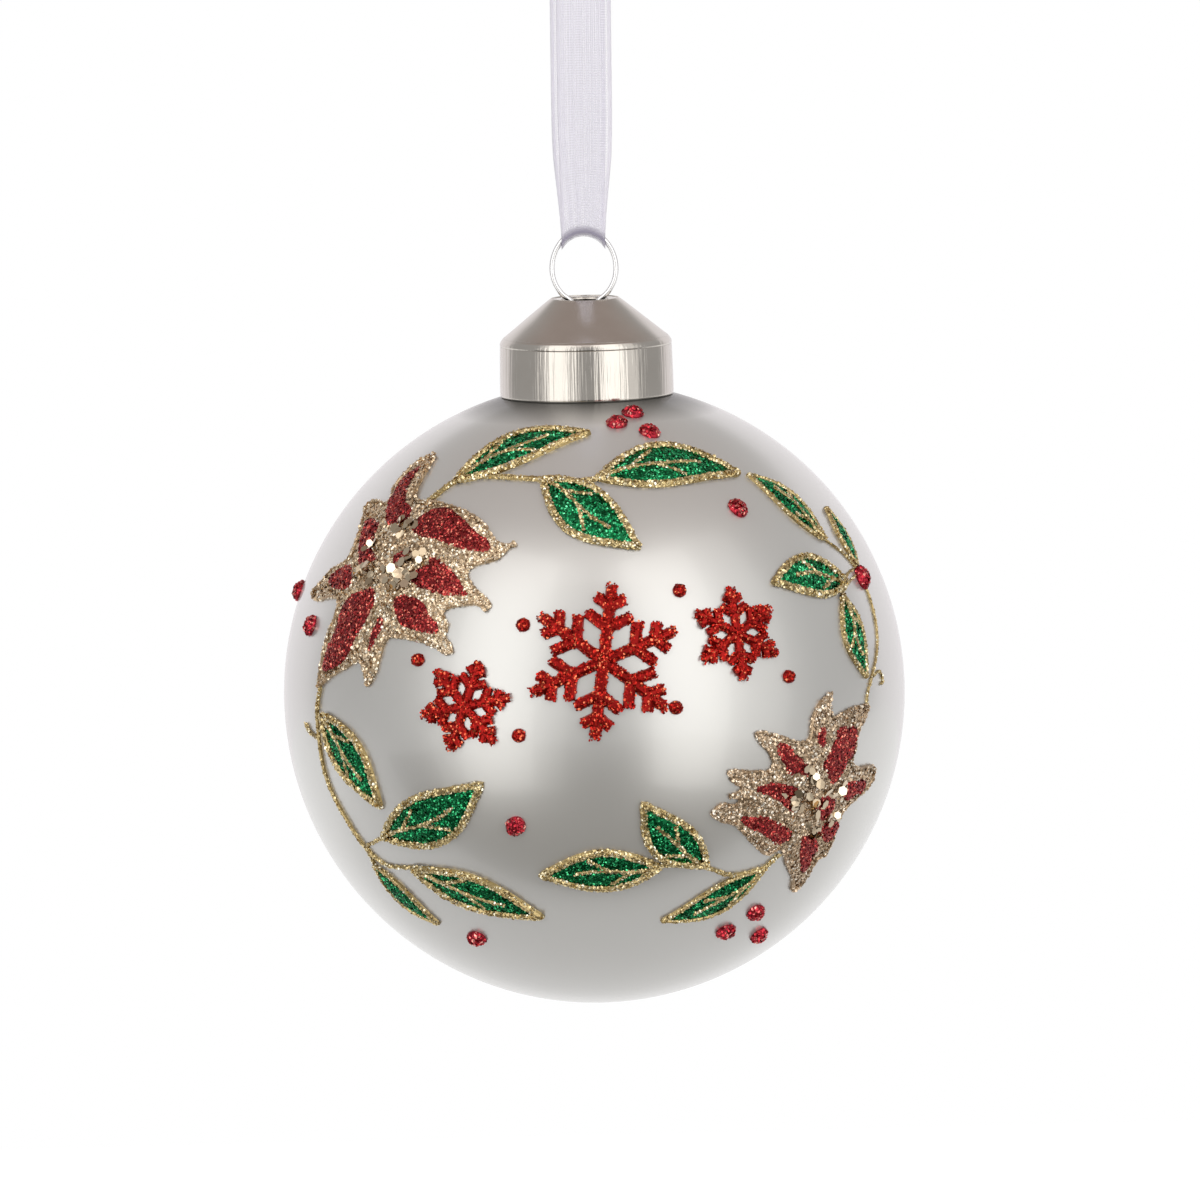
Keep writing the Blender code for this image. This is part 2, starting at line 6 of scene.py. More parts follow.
import bmesh
import bpy
import numpy as np
from mathutils import Matrix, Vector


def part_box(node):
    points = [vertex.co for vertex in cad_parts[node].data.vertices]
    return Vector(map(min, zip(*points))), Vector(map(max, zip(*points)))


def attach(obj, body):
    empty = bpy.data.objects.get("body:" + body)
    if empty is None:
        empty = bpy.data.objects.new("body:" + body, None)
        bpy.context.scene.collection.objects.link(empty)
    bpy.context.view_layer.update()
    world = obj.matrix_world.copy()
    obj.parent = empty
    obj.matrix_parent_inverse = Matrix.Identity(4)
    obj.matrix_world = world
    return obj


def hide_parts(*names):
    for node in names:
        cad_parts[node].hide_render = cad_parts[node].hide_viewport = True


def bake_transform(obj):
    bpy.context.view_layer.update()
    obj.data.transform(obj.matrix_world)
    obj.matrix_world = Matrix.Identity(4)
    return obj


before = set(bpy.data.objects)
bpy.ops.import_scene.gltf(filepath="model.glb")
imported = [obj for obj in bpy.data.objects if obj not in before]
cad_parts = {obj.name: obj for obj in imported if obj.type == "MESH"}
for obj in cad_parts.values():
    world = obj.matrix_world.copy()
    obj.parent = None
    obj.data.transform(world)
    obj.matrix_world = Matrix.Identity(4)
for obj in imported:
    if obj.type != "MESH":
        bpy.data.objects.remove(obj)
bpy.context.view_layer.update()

# Glass ball: a hollow ball blown in one piece with its open neck, lacquered pearl silver under a clear coat.
# The neck stands up inside the cap, and round its foot, just below the cap's rim, a narrow dark ring of
# painted shade lies on the lacquer, which is also rougher there.
BALL_RADIUS = 0.040
GLASS_WALL = 0.0009
NECK_RADIUS = 0.01045
NECK_BORE = 0.00955
NECK_LIP = 0.00025
CAP_SHADE_START = 0.0362
CAP_SHADE_END = 0.0383
BALL_SEGMENTS = 180
BALL_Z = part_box("glass_ball")[0][2] + BALL_RADIUS
NECK_TOP_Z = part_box("glass_ball")[1][2]


def grid_faces(rows, columns):
    """Quads between neighbours on a grid of points whose last column joins its first."""
    i = np.arange(rows - 1)[:, None]
    j = np.arange(columns)[None, :]
    k = (j + 1) % columns
    corners = (i * columns + j, i * columns + k, (i + 1) * columns + k, (i + 1) * columns + j)
    return np.stack(np.broadcast_arrays(*corners), axis=-1).reshape(-1, 4)


def new_piece(name, points, quads, material, smooth=True, marks=None, grains=None):
    """Mesh object at the origin: quads and loose triangles as arrays, marks as named values at the points.
    Points that coincide, as at a pole, become one, and all faces are turned outward."""
    points = np.asarray(points, float).reshape(-1, 3)
    marks = dict(marks or {})
    counts = np.full(len(quads), 4)
    corners = quads.ravel()
    if grains is not None:
        spots, triangles, shade = grains
        corners = np.concatenate([corners, (triangles + len(points)).ravel()])
        counts = np.concatenate([counts, np.full(len(triangles), 3)])
        points = np.concatenate([points, spots])
        marks["shade"] = np.concatenate([marks["shade"], shade])
    mesh = bpy.data.meshes.new(name)
    mesh.vertices.add(len(points))
    mesh.vertices.foreach_set("co", points.ravel())
    mesh.loops.add(len(corners))
    mesh.loops.foreach_set("vertex_index", corners.astype(np.int32))
    mesh.polygons.add(len(counts))
    mesh.polygons.foreach_set("loop_start", (np.cumsum(counts) - counts).astype(np.int32))
    mesh.polygons.foreach_set("use_smooth", np.full(len(counts), smooth))
    mesh.update(calc_edges=True)
    for mark, values in marks.items():
        layer = mesh.attributes.new(mark, "FLOAT", "POINT")
        layer.data.foreach_set("value", np.asarray(values, np.float32))
    work = bmesh.new()
    work.from_mesh(mesh)
    bmesh.ops.remove_doubles(work, verts=work.verts, dist=1e-8)
    bmesh.ops.dissolve_degenerate(work, edges=work.edges, dist=1e-9)
    bmesh.ops.recalc_face_normals(work, faces=work.faces)
    work.to_mesh(mesh)
    work.free()
    mesh.materials.append(material)
    piece = bpy.data.objects.new(name, mesh)
    bpy.context.scene.collection.objects.link(piece)
    return piece


def turned(profile, segments):
    """Points of a profile of (radius, height) turned about Z: (r sin a, -r cos a, z) for each angle a."""
    a = np.linspace(0.0, 2.0 * np.pi, segments, endpoint=False)
    r = profile[:, 0:1]
    z = np.broadcast_to(profile[:, 1:2], (len(profile), segments))
    return np.stack([r * np.sin(a), -r * np.cos(a), z], axis=-1)


def blank_material(name):
    """New node material: the material, its node tree and its shader."""
    made = bpy.data.materials.new(name)
    made.use_nodes = True
    return made, made.node_tree, made.node_tree.nodes["Principled BSDF"]


def set_input(socket, value):
    """One input of a node, set to a number or a colour, or joined to another node's output."""
    if isinstance(value, bpy.types.NodeSocket):
        socket.id_data.links.new(value, socket)
    elif socket.type == "RGBA":
        socket.default_value = (*value, 1.0)
    else:
        socket.default_value = value


def feed(node, **values):
    """Inputs of a node, each given by its name in lower case with _ for a space."""
    for name, value in values.items():
        set_input(node.inputs[name.replace("_", " ").title()], value)


def new_node(tree, kind, *values, **settings):
    """New node with its settings, whose inputs are given in order."""
    node = tree.nodes.new(kind)
    for name, setting in settings.items():
        setattr(node, name, setting)
    for socket, value in zip(node.inputs, values):
        set_input(socket, value)
    return node


def worked(tree, operation, *values):
    """Outcome of one operation on numbers and node outputs."""
    return new_node(tree, "ShaderNodeMath", *values, operation=operation).outputs["Value"]


def places(tree, kind="Object"):
    """The X, Y and Z of each point in one kind of coordinates."""
    place = new_node(tree, "ShaderNodeTexCoord").outputs[kind]
    return new_node(tree, "ShaderNodeSeparateXYZ", place).outputs


def noise_on(tree, scale, detail, stretch=(1.0, 1.0, 1.0)):
    """Noise on Object coordinates, with scale in features per metre and a stretch for each axis."""
    place = new_node(tree, "ShaderNodeTexCoord")
    mapping = new_node(tree, "ShaderNodeMapping")
    noise = new_node(tree, "ShaderNodeTexNoise")
    feed(mapping, vector=place.outputs["Object"], scale=stretch)
    feed(noise, vector=mapping.outputs["Vector"], scale=scale, detail=detail)
    return noise.outputs["Fac"]


def ramp(tree, value, start, end, low=0.0, high=1.0, smooth=False):
    """A value carried from low, at start, to high, at end, and held beyond; smooth eases both ends."""
    curve = "SMOOTHSTEP" if smooth else "LINEAR"
    spread = new_node(tree, "ShaderNodeMapRange", interpolation_type=curve)
    feed(spread, value=value, from_min=start, from_max=end, to_min=low, to_max=high)
    return spread.outputs["Result"]


def mixed(tree, share, first, second, kind="RGBA"):
    """From first, where the share is 0, to second, where it is 1; each is a colour or a node's output."""
    mix = new_node(tree, "ShaderNodeMix", data_type=kind)
    feed(mix, factor=share, a=first, b=second)
    return mix.outputs["Result"]


def bumped(tree, height, strength, distance):
    """Normals of a surface that a height roughens by a strength, over a distance in metres."""
    bump = new_node(tree, "ShaderNodeBump")
    feed(bump, height=height, strength=strength, distance=distance)
    return bump.outputs["Normal"]


pearl, tree, shader = blank_material("pearl_lacquer")
cloud = noise_on(tree, 45.0, 2.0)
speck = noise_on(tree, 5200.0, 1.0)
coat = mixed(tree, cloud, (0.645, 0.642, 0.622), (0.68, 0.68, 0.665))
# painted shade: a narrow dark ring on the ball just below the cap's rim, also rougher
cap_shade = ramp(tree, places(tree)["Z"], BALL_Z + CAP_SHADE_START, BALL_Z + CAP_SHADE_END)
cap_shaded_coat = mixed(tree, cap_shade, coat, (0.10, 0.098, 0.09))
dull = worked(tree, "MULTIPLY_ADD", cap_shade, 0.35, ramp(tree, speck, 0.0, 1.0, 0.28, 0.36))
feed(shader, base_color=cap_shaded_coat, roughness=dull, normal=bumped(tree, speck, 0.03, 0.0001))
feed(shader, metallic=0.6, coat_weight=0.6, coat_roughness=0.05)

inner_radius = BALL_RADIUS - GLASS_WALL
climb = np.linspace(-0.5 * np.pi, np.arccos(NECK_RADIUS / BALL_RADIUS), 110)
fall = np.linspace(np.arccos(NECK_BORE / inner_radius), -0.5 * np.pi, 40)
lip = np.linspace(0.0, 0.5 * np.pi, 5)
lip_z = NECK_TOP_Z - NECK_LIP
lip_out = np.stack([NECK_RADIUS - NECK_LIP + NECK_LIP * np.cos(lip), lip_z + NECK_LIP * np.sin(lip)], 1)
lip_in = np.stack([NECK_BORE + NECK_LIP - NECK_LIP * np.sin(lip), lip_z + NECK_LIP * np.cos(lip)], 1)
outer = np.stack([BALL_RADIUS * np.cos(climb), BALL_Z + BALL_RADIUS * np.sin(climb)], 1)
inner = np.stack([inner_radius * np.cos(fall), BALL_Z + inner_radius * np.sin(fall)], 1)
outer[0, 0] = 0.0
inner[-1, 0] = 0.0
profile = np.concatenate([outer, lip_out, lip_in, inner])
skin = grid_faces(len(profile), BALL_SEGMENTS)
glass = new_piece("pearl_ball", turned(profile, BALL_SEGMENTS), skin, pearl)
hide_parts("glass_ball")
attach(glass, "ball")

# Glitter leaves: green glitter strewn on a thin bed of glue, edged and veined with a raised bead of gold
# glitter. Each bed is a low dome on the glass, and the grains stand on it at all tilts.
GRAIN = 0.00020
FINE_GRAIN = 0.83 * GRAIN
GRAIN_TILT = 0.40
GRAIN_PLUMP = 0.12
BED_RISE = 0.00050
BED_DROP = 0.8
BEAD_RISE = 0.00070
VEIN_WIDTH = 0.0006
# edge bead of a narrow and of a broad leaf: width, rise and grain
NARROW_EDGE = (0.00055, BED_RISE, 0.8 * GRAIN)
BROAD_EDGE = (0.00085, BEAD_RISE, GRAIN)
# grains to each square millimetre
FILL_GRAINS = 24.0
EDGE_GRAINS = 38.0
VEIN_GRAINS = 34.0
# latitude above which the green is a lighter copy, painted light from above, widths in millimetres from which
# a leaf is broad or veined, and how much of its width the edge bead takes
TOP_LIT_LAT = 10.0
BROAD_LEAF = 5.5
VEINED_LEAF = 4.5
EDGE_ROOM = 0.6
# points along a leaf, and how many of them its middle rib passes from the base
LEAF_STEPS = 60
RIB_STEPS = 44
# side veins: side of the rib and start as a share of the leaf, their run along it as a share of its length,
# and their reach as a share of its half width
VEINS = ((1.0, 0.22), (-1.0, 0.40))
VEIN_RUN = 0.2
VEIN_REACH = 0.72
# each leaf: base and tip as longitude and latitude in degrees, width and sideways bend in millimetres
LEAVES = [
    (-38.9, 48.1, 0.0, 61.7, 6.6, -0.8), (-12.7, 49.1, 10.3, 33.7, 7.4, 0.6),
    (2.2, 49.1, 44.3, 47.8, 7.5, -1.0), (60.0, 31.3, 47.8, 47.3, 4.9, 0.5),
    (68.5, 25.2, 70.2, 37.2, 3.1, 0.0), (60.5, 22.9, 38.9, 24.9, 5.7, 0.6),
    (57.4, 20.7, 59.5, 5.2, 5.1, 0.5), (-59.1, 0.9, -44.7, -15.1, 6.2, -0.6),
    (-46.1, -21.2, -21.4, -9.5, 7.0, 0.7), (-53.2, -27.8, -42.4, -40.8, 3.9, 0.4),
    (-41.0, -27.4, -13.3, -37.5, 5.8, -0.6), (12.3, -26.4, -11.6, -27.6, 6.0, 0.4),
    (22.0, -26.8, 8.5, -13.6, 5.8, -0.6), (36.6, -28.8, 14.7, -39.4, 5.1, -0.5),
]


def spot(lon, lat):
    """Unit direction from the ball's middle at a longitude (0 in front, + to the right) and a latitude."""
    a = np.radians(lon)
    b = np.radians(lat)
    return np.stack([np.sin(a) * np.cos(b), -np.cos(a) * np.cos(b), np.sin(b)], axis=-1)


def unit(vectors):
    """Vectors at length 1."""
    return vectors / np.linalg.norm(vectors, axis=-1, keepdims=True)


def chart(out, along, flat):
    """Directions for flat points about a spot: a point r away lies r / radius round the ball from it."""
    side = np.cross(out, along)
    r = np.hypot(flat[..., 0], flat[..., 1])[..., None]
    way = (flat[..., 0:1] * along + flat[..., 1:2] * side) / np.maximum(r, 1e-9)
    return np.cos(r / BALL_RADIUS) * out + np.sin(r / BALL_RADIUS) * way


def on_glass(direction, lift):
    """Points above the glass by a lift."""
    lift = np.broadcast_to(lift, direction.shape[:-1])
    return direction * (BALL_RADIUS + lift)[..., None] + np.array([0.0, 0.0, BALL_Z])


def eased(controls, steps, closed=False):
    """Smooth line through control points, each span a cubic whose ends aim along the neighbours' chord."""
    controls = np.asarray(controls, float)
    if closed:
        a, b, c, d = (np.roll(controls, 1 - k, axis=0) for k in range(4))
    else:
        ends = (2 * controls[:1] - controls[1:2], controls, 2 * controls[-1:] - controls[-2:-1])
        padded = np.concatenate(ends)
        a, b, c, d = padded[:-3], padded[1:-2], padded[2:-1], padded[3:]
    t = np.linspace(0.0, 1.0, steps, endpoint=False)[None, :, None]
    a, b, c, d = (x[:, None, :] for x in (a, b, c, d))
    line = 0.5 * (2 * b + (c - a) * t + (2 * a - 5 * b + 4 * c - d) * t**2 + (3 * b - a - 3 * c + d) * t**3)
    line = line.reshape(-1, controls.shape[1])
    return line if closed else np.concatenate([line, controls[-1:]])


def inside(flat, outline):
    """True for flat points in an outline: a line to the right crosses it an odd number of times."""
    x, y = flat[:, 0:1], flat[:, 1:2]
    ax, ay = outline[:, 0][None, :], outline[:, 1][None, :]
    bx, by = np.roll(ax, -1), np.roll(ay, -1)
    straddles = (ay > y) != (by > y)
    level = np.where(by == ay, 1e-12, by - ay)
    crossing = ax + (y - ay) / level * (bx - ax)
    return np.count_nonzero(straddles & (x < crossing), axis=1) % 2 == 1


def strew(points, outward, size, tilt, plump, luck):
    """Glitter grains: at each point a six-sided plate, thicker in its middle by plump, turned at random and
    tipped by about tilt radians. Gives points, triangles and one random shade for each grain."""
    count = len(points)
    across = unit(np.cross(outward, luck.normal(size=(count, 3))))
    over = np.cross(outward, across)
    lean = luck.normal(0.0, tilt, (count, 2))
    through = unit(outward + lean[:, 0:1] * across + lean[:, 1:2] * over)
    first = unit(across - through * np.sum(across * through, axis=1)[:, None])
    second = np.cross(through, first)
    reach = size * luck.uniform(0.8, 1.15, (count, 1))
    steps = [np.cos(a) * first + np.sin(a) * second for a in np.radians(60.0 * np.arange(6))]
    steps += [plump * through, -plump * through]
    corners = np.stack([points + reach * step for step in steps], axis=1)
    j = np.arange(6)
    k = (j + 1) % 6
    cut = np.concatenate([np.stack([j, k, np.full(6, 6)], 1), np.stack([k, j, np.full(6, 7)], 1)])
    triangles = (np.arange(count)[:, None, None] * 8 + cut[None]).reshape(-1, 3)
    return corners.reshape(-1, 3), triangles, np.repeat(luck.random(count), 8)


def glitter_bed(out, along, outline, rise, size, density, luck, holes=(), power=4, floor=0.0):
    """Dome of glue inside a flat outline, with grains all over it but not over holes. Share s runs from the
    middle, 0, to the outline, 1, and the dome stands rise * (1 - drop * s**power) above its floor."""
    middle = outline.mean(axis=0)
    share = np.array([0.0, 0.2, 0.4, 0.6, 0.75, 0.87, 0.95, 1.0, 1.0, 0.0])
    height = floor + rise * (1.0 - BED_DROP * share**power)
    height[-2:] = 0.0
    flat = middle + share[:, None, None] * (outline - middle)[None]
    bed = on_glass(chart(out, along, flat), height[:, None])
    low, high = outline.min(axis=0), outline.max(axis=0)
    count = int(density * np.prod(high - low) * 1e6)
    seeds = luck.uniform(low, high, (count, 2))
    keep = inside(seeds, outline)
    for hole in holes:
        keep &= ~inside(seeds + luck.normal(0.0, 0.00015, seeds.shape), hole)
    seeds = seeds[keep]
    rim = outline - middle
    ray = seeds - middle
    edge = np.arctan2(rim[:, 1], rim[:, 0])
    order = np.argsort(edge)
    reach = np.hypot(rim[:, 0], rim[:, 1])[order]
    far = np.interp(np.arctan2(ray[:, 1], ray[:, 0]), edge[order], reach, period=2.0 * np.pi)
    share = np.clip(np.hypot(ray[:, 0], ray[:, 1]) / far, 0.0, 1.0)
    lift = floor + rise * (1.0 - BED_DROP * share**power) * luck.uniform(0.9, 1.15, len(seeds))
    outward = chart(out, along, seeds)
    slope = (power * BED_DROP * rise / far * share ** (power - 1))[:, None]
    lean = unit(outward + slope * unit(outward - chart(out, along, middle)))
    grains = strew(on_glass(outward, lift), lean, size, GRAIN_TILT, GRAIN_PLUMP, luck)
    return bed, grains


def glitter_bead(line, width, rise, size, density, luck):
    """Bead of glue along a line of directions, half an ellipse across: offset width / 2 * cos p and height
    rise * sin p, flat underneath, drawn in to nothing at both ends, with grains all over it."""
    run = np.gradient(line, axis=0)
    side = unit(np.cross(run, line))
    share = np.linspace(-1.0, 1.0, len(line))
    fat = np.sqrt(np.clip(1.0 - share**24, 0.0, 1.0))
    p = np.linspace(0.0, 2.0 * np.pi, 10, endpoint=False)
    offset = 0.5 * width * np.cos(p)[None, :] * fat[:, None]
    height = rise * np.clip(np.sin(p), 0.0, 1.0)[None, :] * fat[:, None]
    bead = on_glass(unit(line[:, None, :] + (offset / BALL_RADIUS)[..., None] * side[:, None, :]), height)
    length = np.linalg.norm(np.diff(line, axis=0), axis=1).sum() * BALL_RADIUS
    count = int(density * length * width * 1e6)
    where = luck.uniform(0.0, len(line) - 1.001, count)
    left = where.astype(int)
    part = (where - left)[:, None]
    middle = line[left] * (1.0 - part) + line[left + 1] * part
    v = luck.uniform(-1.0, 1.0, count)
    outward = unit(middle + (0.5 * width / BALL_RADIUS * v)[:, None] * side[left])
    lift = rise * np.sqrt(1.0 - 0.9 * v**2) * luck.uniform(0.75, 1.1, count)
    lean = unit(outward + 0.7 * v[:, None] * side[left])
    grains = strew(on_glass(outward, lift), lean, size, GRAIN_TILT, GRAIN_PLUMP, luck)
    return bead, grains


def glitter_piece(name, parts, material):
    """One piece from beds or beads with their grains; the glue is marked with a low shade."""
    points, quads, spots, triangles, shades = [], [], [], [], []
    base = 0
    loose = 0
    for surface, grains in parts:
        rows, columns = surface.shape[:2]
        points.append(surface.reshape(-1, 3))
        quads.append(grid_faces(rows, columns) + base)
        base += rows * columns
        spots.append(grains[0])
        triangles.append(grains[1] + loose)
        shades.append(grains[2])
        loose += len(grains[0])
    glue = (np.concatenate(points), np.concatenate(quads))
    strewn = (np.concatenate(spots), np.concatenate(triangles), np.concatenate(shades))
    return new_piece(name, *glue, material, False, {"shade": np.full(base, 0.12)}, strewn)


def marked(tree, mark):
    """The values of a mark that the mesh carries at its points."""
    return new_node(tree, "ShaderNodeAttribute", attribute_name=mark).outputs["Fac"]


# The sparkle group tones each grain by its shade, from deep through body to flash, with gloss that rises too.
sparkle = bpy.data.node_groups.new("sparkle", "ShaderNodeTree")
for label in ("Deep", "Body", "Flash"):
    sparkle.interface.new_socket(label, in_out="INPUT", socket_type="NodeSocketColor")
sparkle.interface.new_socket("Colour", in_out="OUTPUT", socket_type="NodeSocketColor")
sparkle.interface.new_socket("Roughness", in_out="OUTPUT", socket_type="NodeSocketFloat")
tones = new_node(sparkle, "NodeGroupInput").outputs
shade = marked(sparkle, "shade")
dim = mixed(sparkle, ramp(sparkle, shade, 0.0, 0.8), tones["Deep"], tones["Body"])
bright = mixed(sparkle, ramp(sparkle, shade, 0.75, 1.0), dim, tones["Flash"])
gloss = ramp(sparkle, shade, 0.0, 1.0, 0.32, 0.14)
feed(new_node(sparkle, "NodeGroupOutput"), colour=bright, roughness=gloss)


def glitter_material(name, deep, body, flash, metal):
    """Glitter in three tones, with the share of metal in its finish."""
    made, tree, shader = blank_material(name)
    group = new_node(tree, "ShaderNodeGroup", node_tree=sparkle)
    feed(group, deep=deep, body=body, flash=flash)
    feed(shader, base_color=group.outputs["Colour"], roughness=group.outputs["Roughness"], metallic=metal)
    return made


green = glitter_material("green_glitter", (0.006, 0.075, 0.026), (0.018, 0.33, 0.12), (0.14, 1.0, 0.42), 1.0)
# the leaves high on the ball take a lighter copy of the green glitter: painted light from above
top_lit_tones = ((0.010, 0.10, 0.037), (0.026, 0.45, 0.165), (0.20, 1.0, 0.50))
top_lit_green = glitter_material("top_lit_green_glitter", *top_lit_tones, 1.0)
gold = glitter_material("gold_glitter", (0.38, 0.28, 0.12), (0.97, 0.80, 0.44), (1.0, 0.99, 0.84), 1.0)
luck = np.random.default_rng(7)
for number, (lon_a, lat_a, lon_b, lat_b, width, bend) in enumerate(LEAVES, 1):
    base, tip = spot(lon_a, lat_a), spot(lon_b, lat_b)
    out = unit(base + tip)
    along = unit(tip - base)
    long = np.arccos(base @ tip) * BALL_RADIUS
    # a leaf is fullest just short of its middle and sways most beyond it
    s = np.linspace(0.0, 1.0, LEAF_STEPS)
    half = 0.5 * (width - EDGE_ROOM) * 0.001 * np.sin(np.pi * s**0.92) ** 1.05
    sway = -1.25 * bend * 0.001 * np.sin(np.pi * s**1.35)
    x = (s - 0.5) * long
    rim = np.concatenate([np.stack([x, sway + half], 1), np.stack([x, sway - half], 1)[-2:0:-1]])
    fill = glitter_bed(out, along, rim, BED_RISE, FINE_GRAIN, FILL_GRAINS, luck)
    leaf = glitter_piece("leaf_fill_%02d" % number, [fill], top_lit_green if lat_a > TOP_LIT_LAT else green)
    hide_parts("leaf_%02d" % number)
    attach(leaf, "ball")
    hem = chart(out, along, np.concatenate([rim, rim[:1]]))
    border = BROAD_EDGE if width > BROAD_LEAF else NARROW_EDGE
    beads = [glitter_bead(hem, *border, EDGE_GRAINS, luck)]
    veins = ()
    if width > VEINED_LEAF:
        veins = VEINS
        rib = chart(out, along, np.stack([x, sway + 0.0002 * np.sin(9.0 * s)], 1)[:RIB_STEPS])
        beads.append(glitter_bead(rib, VEIN_WIDTH, BEAD_RISE, 0.9 * GRAIN, VEIN_GRAINS, luck))
    for turn, start in veins:
        finish = start + VEIN_RUN
        foot = np.array([np.interp(start, s, x), np.interp(start, s, sway)])
        end = np.array([np.interp(finish, s, x), np.interp(finish, s, sway + VEIN_REACH * turn * half)])
        bow = chart(out, along, foot + (end - foot) * np.linspace(0.0, 1.0, 12)[:, None])
        beads.append(glitter_bead(bow, VEIN_WIDTH, 0.9 * BEAD_RISE, GRAIN, VEIN_GRAINS, luck))
    edge = glitter_piece("leaf_edge_%02d" % number, beads, gold)
    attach(edge, "ball")

# Glitter stems: fine beads of glue drawn by hand from the flowers past the leaves, with short side twigs
# and curled ends, strewn with gold glitter.
STEM_GRAINS = 50.0
# each stem: width in millimetres, then its routes in longitude and latitude, the main one first
STEMS = {
    "stem_upper": (0.6, [[(-44, 43), (-39, 48), (-32, 49.5), (-22, 49.5), (-12, 49), (-4, 48.5), (3, 49)]]),
    "stem_right": (0.3, [
        [
            (60, 31.5), (65, 28), (68, 24), (68.6, 18.7), (67.5, 12.8), (65, 8.5), (61.4, 4.4), (59.5, 1.5),
            (59.5, -0.5),
        ],
        [(67.9, 25), (62.9, 24.2), (60.4, 22.9)],
        [(67.6, 23.8), (62.5, 22.8), (57.2, 20.7)],
        [(61.8, 4.9), (63.4, 5.2), (65.0, 5.6), (66.2, 4.9), (66.4, 3.6), (65.4, 3.1)],
    ]),
    "stem_left": (0.45, [
        [
            (-60.2, 5.9), (-61.1, 2.4), (-61.2, -1.3), (-60.4, -11.1), (-56.8, -18.7), (-53.6, -24),
            (-48.9, -27.4), (-41, -27.3),
        ],
        [(-66.5, -1.5), (-64.8, -2.9), (-61.6, -3.7)],
        [(-53.6, -24), (-49.8, -22.6), (-46.1, -21.2)],
        [(-53.6, -24), (-52.9, -26.1), (-53.2, -27.8)],
    ]),
    "stem_lower": (0.5, [
        [
            (39.4, -26.1), (36.3, -28.8), (32.5, -29.5), (27.7, -29.4), (22, -27.2), (17.4, -26.4),
            (12.3, -26.2),
        ],
    ]),
}
for name, (width, routes) in STEMS.items():
    beads = []
    for route in routes:
        line = eased(route, 8)
        fleck = (0.5 + 0.6 * width) * GRAIN
        thick = 0.001 * width
        trail = spot(line[:, 0], line[:, 1])
        beads.append(glitter_bead(trail, thick, 0.9 * thick, fleck, STEM_GRAINS, luck))
    stem = glitter_piece("drawn_" + name, beads, gold)
    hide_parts(name)
    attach(stem, "ball")

# Poinsettias: pale gold glitter on a broad bed of glue cut into pointed bracts, with patches of red glitter
# between the gold, and a heart of large mirror-bright hexagonal flakes pressed in at all tilts. The lower
# flower's gold is a darker, browner copy of the same glitter: painted shade for its dimmer side of the ball.
FLAKE_RADIUS = 0.00062
FLAKE_PLUMP = 0.02
FLAKE_TILT = 0.30
FLAKES_A_SEAT = 4
FLAKE_SCATTER = 0.016
PROUD_FLAKES = 3
PROUD_LIFT = 0.0012
PROUD_TILT = 0.03
RED_BRACTS = 8
FLOWER_GRAINS = 22.0
BRIM_GRAINS = 36.0
BRIM_WIDTH = 0.0004
BRIM_ROOM = 0.0003
# longitude, to either side, and latitude that the proud flakes face
PROUD_LON = 17.5
PROUD_LAT = 9.5
# outlines and red patches in millimetres right of and above each flower's middle
UPPER_RIM = [
    (-4, 17), (-6, 16), (-7, 14.5), (-7.5, 11), (-6.5, 8.5), (-10, 9), (-11.5, 8), (-10.5, 6),
    (-9.5, 3.5), (-9.5, 0), (-12.5, -1), (-14.5, -2.5), (-17, -4), (-15, -5.5), (-9, -5.5), (-8.5, -8),
    (-9.5, -10.5), (-10, -13.5), (-10.5, -17), (-8, -16), (-4, -14.5), (-1.5, -13.5), (-0.5, -14.5),
    (0.5, -16.5), (2, -14.5), (3, -10.5), (4.5, -10), (7.5, -10), (11, -10.5), (12.5, -11), (13.5, -10.5),
    (13, -9.5), (12, -8.5), (12, -7), (11, -5.5), (15, -4), (16.5, -4.5), (17, -3.5), (16, -2.5),
    (14, -1.5), (12.5, 0), (13, 1), (15.5, 2.5), (16.5, 4.5), (17, 5.5), (15.5, 5), (14, 5.5), (11, 7.5),
    (7.5, 8.5), (3.5, 9), (1.5, 9), (-0.5, 9), (-2, 10.5), (-2.5, 12.5), (-3, 15),
]
UPPER_RED = [
    [
        (-4.5, 14), (-6, 12.5), (-6, 10), (-5.5, 7.5), (-3.5, 5), (-0.5, 5.5), (-0.5, 7), (-2.5, 8.5),
        (-4, 11),
    ],
    [
        (2, 4), (1.5, 5.5), (2.5, 7), (5, 8), (8, 7), (11, 5.5), (13.5, 4.5), (14, 3.5), (12.5, 3),
        (9.5, 3), (6, 3.5), (4, 3.5),
    ],
    [
        (6.5, 1), (8.5, 0.5), (10.5, -0.5), (13, -2.5), (13, -3), (9.5, -3.5), (6, -3), (4.5, -2),
        (5, -1), (6.5, 0),
    ],
    [
        (3, -5), (5, -4.5), (7.5, -5), (9, -6.5), (10.5, -7.5), (10.5, -8.5), (7.5, -8.5), (5, -8),
        (3.5, -6.5),
    ],
    [(1.5, -7.5), (2, -8.5), (1.5, -10), (0.5, -12), (0.5, -10), (1, -8.5)],
    [
        (-3.5, -4.5), (-1.5, -4), (-0.5, -5), (-0.5, -6.5), (-1.5, -9), (-2.5, -10.5), (-4, -13),
        (-7, -14.5), (-9, -14.5), (-8.5, -12.5), (-7, -9.5), (-6.5, -6.5), (-5, -5),
    ],
    [(-12, -2.5), (-8, -1), (-6.5, -2.5), (-6.5, -4), (-10, -4)],
    [(-8.5, 5.5), (-5.5, 5), (-5, 3), (-4, 0.5), (-2.5, 0), (-3.5, -0.5), (-5.5, -1), (-7, 1), (-8, 3)],
    [(0.5, 0.5), (2.5, 1.5), (2.5, 0), (1.5, -1)],
]
